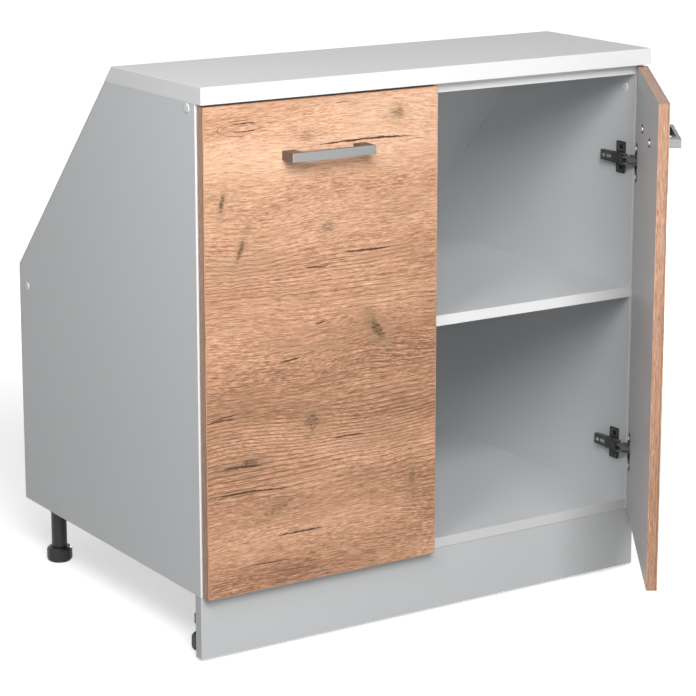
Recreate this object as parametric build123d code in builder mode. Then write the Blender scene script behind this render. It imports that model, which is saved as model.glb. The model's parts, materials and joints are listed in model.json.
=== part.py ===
from build123d import *
from math import cos, hypot, radians, sin
import os

os.makedirs("parts", exist_ok=True)

# Sloped ceiling kitchen cabinet with a low worktop and two doors.
# X runs to the right, Y to the back and Z up, in millimetres.
# The origin lies on the floor, midway between the four feet.

# Driving dimensions of the cabinet
cabinet_width = 800.0
front_y = -290.0
rear_y = 290.0
board = 16.0
back_thickness = 3.0
band_thickness = 0.8
carcass_bottom_z = 100.0
carcass_top_z = 820.0
slope_foot_z = 490.0
slope_run = 310.0
slope_rise = 330.0
worktop_thickness = 25.0
worktop_overhang = 18.0
shelf_bottom_z = 450.0
front_rail_depth = 100.0
rear_rail_front_y = -104.0

# Driving dimensions of the base
plinth_bottom_z = 5.0
plinth_gap = 0.5
leg_x = 365.0
leg_y = 240.0
foot_radius = 20.0
foot_height = 24.0
tube_radius = 12.5
shank_radius = 5.0
clip_z = 47.0

# Driving dimensions of the doors
door_width = 396.0
door_height = 716.0
door_bottom_z = 101.0
door_gap = 3.0
door_band = 1.0
door_middle_gap = 4.0
open_angles = {"left": 0.0, "right": 55.0}
handle_length = 140.0
handle_height = 13.5
handle_reach = 30.0
handle_bar = 6.0
handle_leg = 20.0
handle_corner = 8.0
handle_screw_spacing = 128.0
handle_z = 739.0

# Driving dimensions of the hinges
hinge_heights = (204.0, 670.0)
cup_radius = 17.5
cup_depth = 11.3
cup_wall = 1.0
cup_inset = 8.0
flange_thickness = 1.0
flange_height = 62.0
flange_screw_spacing = 45.0
flange_screw_offset = 9.5
plate_setback = 28.0
plate_width = 20.0
plate_half_height = 25.0
plate_screw_offset = 16.0
arm_end = 67.0
arm_outer = 12.0
arm_half_height = 8.0
arm_sheet = 1.4
pin_radius = 1.5

# Points of a hinge seen from above: first the distance from the side panel's inner face into the
# cabinet, then the depth behind the carcass front, with the door closed
door_pivot = (-7.5, -15.0)
inner_link_pivot = (14.0, -2.0)
inner_link_path = ((14.0, -2.0), (6.0, -4.8), (-1.9, -7.4), (-4.4, -5.9))
inner_link_ratio = 0.53
inner_link_width = 3.0
outer_link_pivot = (18.0, 2.0)
outer_link_path = ((18.0, 2.0), (-1.5, -6.8), (-4.3, -5.8))
outer_link_ratio = 0.42
outer_link_width = 2.6
inner_link_half_height = 3.8
nose_inside = 4.2
nose_outside = 5.5
outer_link_inside = 5.9
outer_link_outside = 6.9

# Hardware sizes
confirmat_length = 50.0
confirmat_shank = 3.5
confirmat_thread = 2.5
confirmat_head = 5.0
dowel_radius = 4.0
dowel_short = 10.0
dowel_long = 20.0
cap_radius = 6.5
cap_height = 1.2
nail_length = 20.0
nail_radius = 0.75
nail_head = 1.7
nail_head_height = 0.4
worktop_screw_length = 32.0
worktop_screw_radius = 2.0
worktop_screw_head = 4.0
fit = 0.05
play = 0.1
hole_spare = 1.0

# Places worked out from the sizes above
sides = {"left": -1, "right": 1}
half_width = cabinet_width / 2
inner_x = half_width - board
core_front_y = front_y + band_thickness
core_rear_y = rear_y - back_thickness
slope_length = hypot(slope_run, slope_rise)
slope_normal = (0.0, slope_rise / slope_length, slope_run / slope_length)
slope_up = (0.0, -slope_run / slope_length, slope_rise / slope_length)
bottom_top_z = carcass_bottom_z + board
shelf_middle_z = shelf_bottom_z + board / 2
rail_bottom_z = carcass_top_z - board
rail_middle_z = carcass_top_z - board / 2
side_middle_x = half_width - board / 2
worktop_top_z = carcass_top_z + worktop_thickness
worktop_front_y = front_y - worktop_overhang
door_middle_z = door_bottom_z + door_height / 2
door_center_x = door_middle_gap / 2 + door_width / 2


def slope_y(height, inset=0.0):
    """Depth where the roof line, moved inwards by inset, crosses a height."""
    return rear_y - (height - slope_foot_z) * slope_run / slope_rise - inset * slope_length / slope_rise


def slope_z(depth, inset=0.0):
    """Height where the roof line, moved inwards by inset, crosses a depth."""
    return slope_foot_z + (rear_y - inset * slope_length / slope_rise - depth) * slope_rise / slope_run


def slope_point(x, along, inset=0.0):
    """Point on the roof slope, measured up the slope from its foot."""
    y = rear_y + along * slope_up[1] - inset * slope_normal[1]
    z = slope_foot_z + along * slope_up[2] - inset * slope_normal[2]
    return (x, y, z)


def hinge_point(side, u, v):
    """Plan position of a hinge point on one side of the cabinet."""
    return (side * (inner_x - u), front_y + v)


def turned_plane(side, pivot, angle):
    """Horizontal plane at a pivot, turned outwards from the closed pose by an angle in degrees."""
    x, y = hinge_point(side, *pivot)
    turn = radians(side * angle)
    return Plane(origin=(x, y, 0), x_dir=(cos(turn), sin(turn), 0), z_dir=(0, 0, 1))


def closed_offset(side, pivot, point):
    """Offset of a hinge point from a pivot, as it lies in the closed pose."""
    return (-side * (point[0] - pivot[0]), point[1] - pivot[1])


def drill(point, outward, radius, depth):
    """Round hole in the open piece, from a point against the outward direction."""
    with Locations(Plane(origin=point, z_dir=outward)):
        Hole(radius, depth)


def drill_countersunk(point, outward, radius, head_radius, depth):
    """Round hole with a cone for a screw head, from a point against the outward direction."""
    with Locations(Plane(origin=point, z_dir=outward)):
        CounterSinkHole(radius, head_radius, depth, 90)


def behind(point, outward, distance):
    """Point that lies a distance behind another one, against the outward direction."""
    return tuple(Vector(*point) - Vector(*outward) * distance)


def opposite(direction):
    """The same direction the other way round."""
    return tuple(-part for part in direction)


def drill_confirmat_head(point, outward):
    """Through hole of a confirmat screw in the outer board of a joint."""
    drill_countersunk(point, outward, confirmat_shank + fit, confirmat_head + fit, board + hole_spare)


def drill_confirmat_pilot(point, outward):
    """Hole for the thread of a confirmat screw in the inner board of a joint."""
    depth = confirmat_length - board + hole_spare
    drill(behind(point, outward, board), outward, confirmat_thread + fit, depth)


def drill_dowel_short(point, direction):
    """Hole for the short end of a dowel."""
    drill(point, direction, dowel_radius + fit, dowel_short + hole_spare)


def drill_dowel_long(point, direction):
    """Hole for the long end of a dowel."""
    drill(point, opposite(direction), dowel_radius + fit, dowel_long + hole_spare)


def drill_nail(point, direction):
    """Hole for a nail in the board behind a back panel."""
    drill(behind(point, direction, back_thickness), direction, nail_radius + fit, nail_length)


def drill_worktop_screw(point, direction):
    """Through hole of a worktop screw in a rail."""
    depth = board + hole_spare
    drill_countersunk(point, direction, worktop_screw_radius + fit, worktop_screw_head + fit, depth)


def drill_panel_nail(point, direction):
    """Hole with a shallow recess for a nail's head in a back panel."""
    with Locations(Plane(origin=point, z_dir=direction)):
        CounterBoreHole(nail_radius + fit, nail_head + fit, nail_head_height, back_thickness + hole_spare)


def countersunk_screw(head_radius, shank_radius, length, recess):
    """Cross-head wood screw with its head's top at the origin and its tip below."""
    cone = head_radius - shank_radius
    with BuildPart() as screw:
        with BuildSketch(Plane.XZ):
            with BuildLine():
                Polyline(
                    (0, 0),
                    (head_radius, 0),
                    (shank_radius, -cone),
                    (shank_radius, -length + 2 * shank_radius),
                    (0, -length),
                    close=True,
                )
            make_face()
        revolve(axis=Axis.Z)
        with BuildSketch(Plane.XY):
            Rectangle(recess, recess / 4)
            Rectangle(recess / 4, recess)
        extrude(amount=-recess / 3, mode=Mode.SUBTRACT)
    return screw


def pan_screw(head_radius, head_height, shank_radius, length, recess):
    """Machine screw with a flat round head on top of the origin plane and its shank below."""
    with BuildPart() as screw:
        Cylinder(head_radius, head_height, align=(Align.CENTER, Align.CENTER, Align.MIN))
        fillet(screw.edges().group_by(Axis.Z)[-1], head_height * 0.4)
        Cylinder(shank_radius, length, align=(Align.CENTER, Align.CENTER, Align.MAX))
        with BuildSketch(Plane.XY.offset(head_height)):
            Rectangle(recess, recess / 4)
            Rectangle(recess / 4, recess)
        extrude(amount=-head_height * 0.6, mode=Mode.SUBTRACT)
    return screw


def group(piece, places):
    """Copies of one fastener, each with its head facing the outward direction of its place."""
    with BuildPart() as copies:
        with Locations(*[Plane(origin=point, z_dir=outward) for point, outward in places]):
            add(piece.part)
    return copies


# Where the confirmat screws enter, with the direction in which each head faces
side_screw_ys = (-200.0, 0.0, 200.0)
rail_screw_y = -269.0
shelf_screw_y = 260.0
bottom_screws = {}
rail_screws = {}
shelf_screws = {}
for name, side in sides.items():
    outward = (side, 0, 0)
    bottom_screws[name] = [((side * side_middle_x, y, carcass_bottom_z), (0, 0, -1)) for y in side_screw_ys]
    rail_screws[name] = ((side * half_width, rail_screw_y, rail_middle_z), outward)
    shelf_screws[name] = ((side * half_width, shelf_screw_y, shelf_middle_z), outward)

# Where the dowels cross a joint, with the direction of their long end
bottom_dowels = {}
shelf_dowels = {}
front_rail_dowels = {}
rear_rail_dowels = {}
for name, side in sides.items():
    inward = (-side, 0, 0)
    bottom_dowels[name] = [((side * side_middle_x, y, bottom_top_z), (0, 0, 1)) for y in (-120.0, 120.0)]
    shelf_dowels[name] = ((side * inner_x, -250.0, shelf_middle_z), inward)
    front_rail_dowels[name] = ((side * inner_x, -215.0, rail_middle_z), inward)
    rear_rail_dowels[name] = [((side * inner_x, y, rail_middle_z), inward) for y in (-85.0, -45.0)]

# Where the worktop screws enter the two rails from below
front_worktop_screws = [((x, -240.0, rail_bottom_z), (0, 0, -1)) for x in (-250.0, 250.0)]
rear_worktop_screws = [((x, -65.0, rail_bottom_z), (0, 0, -1)) for x in (-250.0, 250.0)]

# Where the nails of the two back panels enter
back_normal = (0.0, 1.0, 0.0)
side_nails = {}
slope_nails = {}
for name, side in sides.items():
    x = side * side_middle_x
    side_nails[name] = [((x, rear_y, z), back_normal) for z in (150.0, 250.0, 350.0, 430.0)]
    slope_nails[name] = [(slope_point(x, along), slope_normal) for along in (40.0, 160.0, 280.0, 400.0)]
bottom_nails = [((x, rear_y, carcass_bottom_z + board / 2), back_normal) for x in (-250.0, 0.0, 250.0)]
shelf_nails = [((x, rear_y, shelf_middle_z), back_normal) for x in (-250.0, 0.0, 250.0)]
rail_nails = [(slope_point(x, 440.0), slope_normal) for x in (-250.0, 0.0, 250.0)]

# Where the hinge plates are screwed to the side panels
plate_screw_length = 14.0
plate_screw_radius = 2.5
plate_screw_head = 4.2
wing_thickness = 3.0
plate_screws = {}
for name, side in sides.items():
    plate_screws[name] = [
        ((*hinge_point(side, wing_thickness, plate_setback), height + offset), (-side, 0, 0))
        for height in hinge_heights
        for offset in (-plate_screw_offset, plate_screw_offset)
    ]

# The blind holes for joining two cabinets, each under its cap
joining_holes = {name: ((side * inner_x, -266.0, 781.0), (-side, 0, 0)) for name, side in sides.items()}
joining_hole_radius = 2.5
joining_hole_depth = 10.0

# Side panels, cut off at the back along the roof slope
plate_hole_depth = plate_screw_length - wing_thickness + hole_spare
for name, side in sides.items():
    outward = (side, 0, 0)
    with BuildPart() as side_panel:
        with BuildSketch(Plane.YZ.offset(side * inner_x)):
            with BuildLine():
                Polyline(
                    (core_front_y, bottom_top_z),
                    (core_rear_y, bottom_top_z),
                    (core_rear_y, slope_z(core_rear_y, back_thickness)),
                    (slope_y(carcass_top_z, back_thickness), carcass_top_z),
                    (core_front_y, carcass_top_z),
                    close=True,
                )
            make_face()
        extrude(amount=side * board)
        for point, direction in bottom_screws[name]:
            drill_confirmat_pilot(point, direction)
        for point, direction in (rail_screws[name], shelf_screws[name]):
            drill_confirmat_head(point, direction)
        for point, direction in bottom_dowels[name]:
            drill_dowel_long(point, direction)
        for point, direction in (shelf_dowels[name], front_rail_dowels[name], *rear_rail_dowels[name]):
            drill_dowel_short(point, direction)
        for point, direction in (*side_nails[name], *slope_nails[name]):
            drill_nail(point, direction)
        for point, direction in plate_screws[name]:
            place = (side * inner_x, point[1], point[2])
            drill(place, direction, plate_screw_radius + fit, plate_hole_depth)
        point, direction = joining_holes[name]
        drill(point, direction, joining_hole_radius, joining_hole_depth)
    side_panel.part.label = f"{name}_side_panel"
    export_step(side_panel.part, f"parts/{name}_side_panel.step")

# Bottom panel, under both side panels
socket_screw_circle = 7.5
socket_screw_turns = (90, 210, 330)
socket_floor_z = 97.0
socket_screw_length = 15.0
socket_screw_radius = 1.9
socket_screw_head = 3.4
socket_hole_depth = socket_screw_length - (carcass_bottom_z - socket_floor_z) + hole_spare
leg_places = [(x, y) for x in (-leg_x, leg_x) for y in (-leg_y, leg_y)]
socket_screws = []
for x, y in leg_places:
    for turn in socket_screw_turns:
        point = (x + socket_screw_circle * cos(radians(turn)), y + socket_screw_circle * sin(radians(turn)))
        socket_screws.append(((*point, socket_floor_z), (0, 0, -1)))
with BuildPart() as bottom_panel:
    with BuildSketch(Plane.XY.offset(carcass_bottom_z)):
        with Locations((0, (core_front_y + core_rear_y) / 2)):
            Rectangle(cabinet_width, core_rear_y - core_front_y)
    extrude(amount=board)
    for name in sides:
        for point, direction in bottom_screws[name]:
            drill_confirmat_head(point, direction)
        for point, direction in bottom_dowels[name]:
            drill_dowel_short(point, direction)
    for point, direction in bottom_nails:
        drill_nail(point, direction)
    for point, direction in socket_screws:
        place = (point[0], point[1], carcass_bottom_z)
        drill(place, direction, socket_screw_radius + fit, socket_hole_depth)
bottom_panel.part.label = "bottom_panel"
export_step(bottom_panel.part, "parts/bottom_panel.step")

# Shelf, screwed through the sides at the back and dowelled at the front
with BuildPart() as shelf:
    with BuildSketch(Plane.XY.offset(shelf_bottom_z)):
        with Locations((0, (core_front_y + core_rear_y) / 2)):
            Rectangle(2 * inner_x, core_rear_y - core_front_y)
    extrude(amount=board)
    for name in sides:
        point, direction = shelf_screws[name]
        drill_confirmat_pilot(point, direction)
        point, direction = shelf_dowels[name]
        drill_dowel_long(point, direction)
    for point, direction in shelf_nails:
        drill_nail(point, direction)
shelf.part.label = "shelf"
export_step(shelf.part, "parts/shelf.step")

# Front rail, lying flat under the worktop
front_rail_rear_y = front_y + front_rail_depth
with BuildPart() as top_front_rail:
    with BuildSketch(Plane.XY.offset(rail_bottom_z)):
        with Locations((0, (core_front_y + front_rail_rear_y) / 2)):
            Rectangle(2 * inner_x, front_rail_rear_y - core_front_y)
    extrude(amount=board)
    for name in sides:
        point, direction = rail_screws[name]
        drill_confirmat_pilot(point, direction)
        point, direction = front_rail_dowels[name]
        drill_dowel_long(point, direction)
    for point, direction in front_worktop_screws:
        drill_worktop_screw(point, direction)
top_front_rail.part.label = "top_front_rail"
export_step(top_front_rail.part, "parts/top_front_rail.step")

# Rear rail, cut along the slope, which carries the worktop's back and the top of the sloped panel
with BuildPart() as top_rear_rail:
    with BuildSketch(Plane.YZ.offset(-inner_x)):
        with BuildLine():
            Polyline(
                (rear_rail_front_y, rail_bottom_z),
                (slope_y(rail_bottom_z, back_thickness), rail_bottom_z),
                (slope_y(carcass_top_z, back_thickness), carcass_top_z),
                (rear_rail_front_y, carcass_top_z),
                close=True,
            )
        make_face()
    extrude(amount=2 * inner_x)
    for name in sides:
        for point, direction in rear_rail_dowels[name]:
            drill_dowel_long(point, direction)
    for point, direction in rear_worktop_screws:
        drill_worktop_screw(point, direction)
    for point, direction in rail_nails:
        drill_nail(point, direction)
top_rear_rail.part.label = "top_rear_rail"
export_step(top_rear_rail.part, "parts/top_rear_rail.step")

# Back panels of thin hardboard, one upright and one on the slope
back_inset = 1.0
back_joint_gap = 2.5
back_width = cabinet_width - 2 * back_inset
lower_back_top_z = slope_foot_z - back_joint_gap
with BuildPart() as lower_back_panel:
    with BuildSketch(Plane.XZ.offset(-rear_y)):
        with Locations((0, (carcass_bottom_z + lower_back_top_z) / 2)):
            Rectangle(back_width, lower_back_top_z - carcass_bottom_z)
    extrude(amount=back_thickness)
    for point, direction in (*side_nails["left"], *side_nails["right"], *bottom_nails, *shelf_nails):
        drill_panel_nail(point, direction)
lower_back_panel.part.label = "lower_back_panel"
export_step(lower_back_panel.part, "parts/lower_back_panel.step")

slope_plane = Plane(origin=slope_point(0, 0, back_thickness), x_dir=(-1, 0, 0), z_dir=slope_normal)
with BuildPart() as sloped_back_panel:
    with BuildSketch(slope_plane):
        with Locations((0, slope_length / 2)):
            Rectangle(back_width, slope_length)
    extrude(amount=back_thickness)
    for point, direction in (*slope_nails["left"], *slope_nails["right"], *rail_nails):
        drill_panel_nail(point, direction)
sloped_back_panel.part.label = "sloped_back_panel"
export_step(sloped_back_panel.part, "parts/sloped_back_panel.step")

# Worktop, its back edge bevelled in line with the slope
worktop_core_front_y = worktop_front_y + band_thickness
worktop_screw_depth = worktop_screw_length - board + hole_spare
with BuildPart() as worktop:
    with BuildSketch(Plane.YZ.offset(-half_width + band_thickness)):
        with BuildLine():
            Polyline(
                (worktop_core_front_y, carcass_top_z),
                (slope_y(carcass_top_z), carcass_top_z),
                (slope_y(worktop_top_z), worktop_top_z),
                (worktop_core_front_y, worktop_top_z),
                close=True,
            )
        make_face()
    extrude(amount=cabinet_width - 2 * band_thickness)
    for point, direction in (*front_worktop_screws, *rear_worktop_screws):
        drill(behind(point, direction, board), direction, worktop_screw_radius + fit, worktop_screw_depth)
worktop.part.label = "worktop"
export_step(worktop.part, "parts/worktop.step")

# Edge bands of the worktop: one along the front and one at each end
with BuildPart() as worktop_edge_bands:
    with BuildSketch(Plane.XY.offset(carcass_top_z)):
        with Locations((0, worktop_front_y + band_thickness / 2)):
            Rectangle(cabinet_width, band_thickness)
    extrude(amount=worktop_thickness)
    for side in sides.values():
        with BuildSketch(Plane.YZ.offset(side * (half_width - band_thickness))):
            with BuildLine():
                Polyline(
                    (worktop_core_front_y + fit, carcass_top_z),
                    (slope_y(carcass_top_z), carcass_top_z),
                    (slope_y(worktop_top_z), worktop_top_z),
                    (worktop_core_front_y + fit, worktop_top_z),
                    close=True,
                )
            make_face()
        extrude(amount=side * band_thickness)
worktop_edge_bands.part.label = "worktop_edge_bands"
export_step(worktop_edge_bands.part, "parts/worktop_edge_bands.step")

# Front edge bands of the sides, the bottom, the shelf and the rail
with BuildPart() as front_edge_bands:
    with BuildSketch(Plane.XZ.offset(-core_front_y)):
        for side in sides.values():
            with Locations((side * side_middle_x, (bottom_top_z + carcass_top_z) / 2)):
                Rectangle(board, carcass_top_z - bottom_top_z - 2 * fit)
        with Locations((0, carcass_bottom_z + board / 2)):
            Rectangle(cabinet_width, board)
        for height in (shelf_middle_z, rail_middle_z):
            with Locations((0, height)):
                Rectangle(2 * inner_x - 2 * fit, board)
    extrude(amount=band_thickness)
front_edge_bands.part.label = "front_edge_bands"
export_step(front_edge_bands.part, "parts/front_edge_bands.step")

# Plinth board across the front
plinth_top_z = carcass_bottom_z - plinth_gap
plinth_rear_y = front_y + board
clip_plate_thickness = 3.0
clip_screw_x = 14.0
clip_screws = [
    ((side * leg_x + offset, plinth_rear_y + clip_plate_thickness, clip_z), (0, 1, 0))
    for side in sides.values()
    for offset in (-clip_screw_x, clip_screw_x)
]
clip_screw_length = 14.0
clip_screw_radius = 1.5
clip_screw_head = 3.0
clip_screw_recess = 3.0
clip_hole_depth = clip_plate_thickness + hole_spare
with BuildPart() as plinth:
    with BuildSketch(Plane.XY.offset(plinth_bottom_z)):
        with Locations((0, (front_y + plinth_rear_y) / 2)):
            Rectangle(cabinet_width, board)
    extrude(amount=plinth_top_z - plinth_bottom_z)
    for point, direction in clip_screws:
        place = behind(point, direction, clip_plate_thickness)
        drill(place, direction, clip_screw_radius + fit, clip_screw_length)
plinth.part.label = "plinth"
export_step(plinth.part, "parts/plinth.step")

# Plinth clips: a plate on the plinth's back with an open ring that snaps round the front leg
clip_height = 12.0
clip_plate_width = 40.0
clip_neck_width = 10.0
clip_ring_outer = 16.0
clip_ring_inner = tube_radius + play
clip_mouth = 15.0
for name, side in sides.items():
    with BuildPart() as clip:
        with BuildSketch(Plane.XY.offset(clip_z - clip_height / 2)):
            with Locations((side * leg_x, plinth_rear_y + clip_plate_thickness / 2)):
                Rectangle(clip_plate_width, clip_plate_thickness)
            with Locations((side * leg_x, (plinth_rear_y - leg_y) / 2)):
                Rectangle(clip_neck_width, -leg_y - plinth_rear_y)
            with Locations((side * leg_x, -leg_y)):
                Circle(clip_ring_outer)
            with Locations((side * leg_x, -leg_y)):
                Circle(clip_ring_inner, mode=Mode.SUBTRACT)
            with Locations((side * leg_x, -leg_y + clip_ring_outer)):
                Rectangle(clip_mouth, 2 * clip_ring_outer, mode=Mode.SUBTRACT)
        extrude(amount=clip_height)
        for point, direction in clip_screws:
            if point[0] * side > 0:
                head_hole = clip_screw_head + fit
                drill_countersunk(point, direction, clip_screw_radius + fit, head_hole, clip_hole_depth)
    clip.part.label = f"{name}_plinth_clip"
    export_step(clip.part, f"parts/{name}_plinth_clip.step")

clip_screw = countersunk_screw(clip_screw_head, clip_screw_radius, clip_screw_length, clip_screw_recess)
plinth_clip_screws = group(clip_screw, clip_screws)
plinth_clip_screws.part.label = "plinth_clip_screws"
export_step(plinth_clip_screws.part, "parts/plinth_clip_screws.step")

# Leg sockets: a flanged cup under the bottom panel, in which the tube sits
socket_rim_z = 84.0
socket_flange_z = 94.0
socket_neck_wall = 4.0
socket_rim_wall = 2.0
socket_screw_recess = 3.2
socket_drill_depth = carcass_bottom_z - socket_floor_z + hole_spare
tube_top_z = 94.0
with BuildPart() as one_socket:
    with BuildSketch(Plane.XZ):
        with BuildLine():
            Polyline(
                (0, carcass_bottom_z),
                (foot_radius, carcass_bottom_z),
                (foot_radius, socket_flange_z),
                (tube_radius + socket_neck_wall, socket_flange_z),
                (tube_radius + socket_rim_wall, socket_rim_z),
                (tube_radius + play, socket_rim_z),
                (tube_radius + play, socket_floor_z),
                (0, socket_floor_z),
                close=True,
            )
        make_face()
    revolve(axis=Axis.Z)
    for turn in socket_screw_turns:
        x = socket_screw_circle * cos(radians(turn))
        y = socket_screw_circle * sin(radians(turn))
        head_hole = socket_screw_head + fit
        drill_countersunk(
            (x, y, socket_floor_z), (0, 0, -1), socket_screw_radius + fit, head_hole, socket_drill_depth
        )
leg_sockets = group(one_socket, [((x, y, 0), (0, 0, 1)) for x, y in leg_places])
leg_sockets.part.label = "leg_sockets"
export_step(leg_sockets.part, "parts/leg_sockets.step")

socket_screw = countersunk_screw(
    socket_screw_head, socket_screw_radius, socket_screw_length, socket_screw_recess
)
leg_socket_screws = group(socket_screw, socket_screws)
leg_socket_screws.part.label = "leg_socket_screws"
export_step(leg_socket_screws.part, "parts/leg_socket_screws.step")

# Leg tubes, each with a threaded collar at its lower end
tube_wall = 2.0
collar_height = 14.0
foot_clearance = 0.4
tube_bottom_z = foot_height + foot_clearance
with BuildPart() as one_tube:
    with BuildSketch(Plane.XZ):
        with BuildLine():
            Polyline(
                (shank_radius + play, tube_bottom_z),
                (tube_radius, tube_bottom_z),
                (tube_radius, tube_top_z),
                (tube_radius - tube_wall, tube_top_z),
                (tube_radius - tube_wall, tube_bottom_z + collar_height),
                (shank_radius + play, tube_bottom_z + collar_height),
                close=True,
            )
        make_face()
    revolve(axis=Axis.Z)
leg_tubes = group(one_tube, [((x, y, 0), (0, 0, 1)) for x, y in leg_places])
leg_tubes.part.label = "leg_tubes"
export_step(leg_tubes.part, "parts/leg_tubes.step")

# Screw feet: a notched knob on a threaded shank, screwed fully in
shank_top_z = 84.0
shank_chamfer = 1.0
foot_chamfer = 3.0
notch_width = 6.0
notch_height = 4.0
notch_depth = 3.0
notch_count = 8
for foot_name, (x, y) in zip(("front_left", "rear_left", "front_right", "rear_right"), leg_places):
    with BuildPart(Plane(origin=(x, y, 0))) as foot:
        Cylinder(foot_radius, foot_height, align=(Align.CENTER, Align.CENTER, Align.MIN))
        chamfer(foot.edges().filter_by(GeomType.CIRCLE), foot_chamfer)
        with PolarLocations(foot_radius, notch_count):
            Box(2 * notch_depth, notch_width, 2 * notch_height, mode=Mode.SUBTRACT)
        Cylinder(shank_radius, shank_top_z, align=(Align.CENTER, Align.CENTER, Align.MIN))
        chamfer(foot.edges().filter_by(GeomType.CIRCLE).sort_by(Axis.Z)[-1], shank_chamfer)
    foot.part.label = f"{foot_name}_foot"
    export_step(foot.part, f"parts/{foot_name}_foot.step")

# Confirmat screws through the bottom into the sides, and through the sides into shelf and rail
confirmat_socket = 4.0
confirmat_socket_depth = 3.5
confirmat_step = 1.0
confirmat_tip = 3.0
with BuildPart() as confirmat:
    with BuildSketch(Plane.XZ):
        with BuildLine():
            Polyline(
                (0, 0),
                (confirmat_head, 0),
                (confirmat_shank, confirmat_shank - confirmat_head),
                (confirmat_shank, -board + confirmat_step),
                (confirmat_thread, -board),
                (confirmat_thread, -confirmat_length + confirmat_tip),
                (0, -confirmat_length),
                close=True,
            )
        make_face()
    revolve(axis=Axis.Z)
    with BuildSketch(Plane.XY):
        RegularPolygon(confirmat_socket / 2, 6, major_radius=False)
    extrude(amount=-confirmat_socket_depth, mode=Mode.SUBTRACT)
confirmat_places = []
for name in sides:
    confirmat_places += [*bottom_screws[name], rail_screws[name], shelf_screws[name]]
assembly_screws = group(confirmat, confirmat_places)
assembly_screws.part.label = "assembly_screws"
export_step(assembly_screws.part, "parts/assembly_screws.step")

# Wooden dowels across the board joints
dowel_chamfer = 1.0
with BuildPart() as one_dowel:
    with Locations((0, 0, (dowel_long - dowel_short) / 2)):
        Cylinder(dowel_radius, dowel_long + dowel_short)
    chamfer(one_dowel.edges().filter_by(GeomType.CIRCLE), dowel_chamfer)
dowel_places = []
for name in sides:
    dowel_places += [*bottom_dowels[name], *rear_rail_dowels[name]]
    dowel_places += [shelf_dowels[name], front_rail_dowels[name]]
wooden_dowels = group(one_dowel, dowel_places)
wooden_dowels.part.label = "wooden_dowels"
export_step(wooden_dowels.part, "parts/wooden_dowels.step")


def cover_cap(stem_radius, stem_length):
    """Cover cap with a rounded rim that lies on the origin plane, with a stem below it."""
    with BuildPart() as cap:
        Cylinder(cap_radius, cap_height, align=(Align.CENTER, Align.CENTER, Align.MIN))
        fillet(cap.edges().group_by(Axis.Z)[-1], cap_height * 0.7)
        Cylinder(stem_radius, stem_length, align=(Align.CENTER, Align.CENTER, Align.MAX))
    return cap


# White caps over the screw heads on the outer sides
screw_cap_stem_radius = 1.9
screw_cap_stem_length = 3.0
screw_cap = cover_cap(screw_cap_stem_radius, screw_cap_stem_length)
screw_cover_caps = group(screw_cap, [place[name] for name in sides for place in (rail_screws, shelf_screws)])
screw_cover_caps.part.label = "screw_cover_caps"
export_step(screw_cover_caps.part, "parts/screw_cover_caps.step")

# Caps over the joining holes inside the cabinet
joining_cap_stem_length = 8.0
joining_cap = cover_cap(joining_hole_radius - fit, joining_cap_stem_length)
joining_hole_caps = group(joining_cap, joining_holes.values())
joining_hole_caps.part.label = "joining_hole_caps"
export_step(joining_hole_caps.part, "parts/joining_hole_caps.step")

# Screws that hold the worktop from below
worktop_screw_recess = 4.0
worktop_screw = countersunk_screw(
    worktop_screw_head, worktop_screw_radius, worktop_screw_length, worktop_screw_recess
)
worktop_screws = group(worktop_screw, [*front_worktop_screws, *rear_worktop_screws])
worktop_screws.part.label = "worktop_screws"
export_step(worktop_screws.part, "parts/worktop_screws.step")

# Nails of the back panels, their heads flush
with BuildPart() as nail:
    Cylinder(nail_head, nail_head_height, align=(Align.CENTER, Align.CENTER, Align.MAX))
    Cylinder(nail_radius, nail_length, align=(Align.CENTER, Align.CENTER, Align.MAX))
nail_places = [*bottom_nails, *shelf_nails, *rail_nails]
for name in sides:
    nail_places += [*side_nails[name], *slope_nails[name]]
back_panel_nails = group(nail, nail_places)
back_panel_nails.part.label = "back_panel_nails"
export_step(back_panel_nails.part, "parts/back_panel_nails.step")

# Hinge mounting plates: two wings on the side panel and a saddle that carries the arm
wing_corner = 1.5
wing_recess = 0.8
wing_recess_width = 13.0
wing_recess_height = 11.0
wing_recess_corner = 1.0
saddle_top = 9.5
saddle_half_height = 6.4
saddle_start = 13.5
saddle_end = 62.0
adjusting_screw_vs = (48.0, 58.0)
adjusting_screw_radius = 2.0
adjusting_hole_depth = saddle_top - hole_spare
for name, side in sides.items():
    with BuildPart() as plates:
        for height in hinge_heights:
            plane = Plane(origin=(side * inner_x, front_y, height), x_dir=(0, 1, 0), z_dir=(-side, 0, 0))
            with BuildSketch(plane):
                with Locations((plate_setback, 0)):
                    RectangleRounded(plate_width, 2 * plate_half_height, wing_corner)
            extrude(amount=wing_thickness)
            with BuildSketch(plane):
                with Locations(((saddle_start + saddle_end) / 2, 0)):
                    Rectangle(saddle_end - saddle_start, 2 * saddle_half_height)
            extrude(amount=saddle_top)
            with BuildSketch(plane.offset(wing_thickness)):
                for offset in (-plate_screw_offset, plate_screw_offset):
                    with Locations((plate_setback, offset)):
                        RectangleRounded(wing_recess_width, wing_recess_height, wing_recess_corner)
            extrude(amount=-wing_recess, mode=Mode.SUBTRACT)
        for point, direction in plate_screws[name]:
            seat = behind(point, direction, wing_recess)
            head_hole = plate_screw_head + play
            drill_countersunk(seat, direction, plate_screw_radius + fit, head_hole, wing_thickness)
        for height in hinge_heights:
            for v in adjusting_screw_vs:
                point = (*hinge_point(side, saddle_top, v), height)
                drill(point, (-side, 0, 0), adjusting_screw_radius + fit, adjusting_hole_depth)
    plates.part.label = f"{name}_hinge_plates"
    export_step(plates.part, f"parts/{name}_hinge_plates.step")

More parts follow.
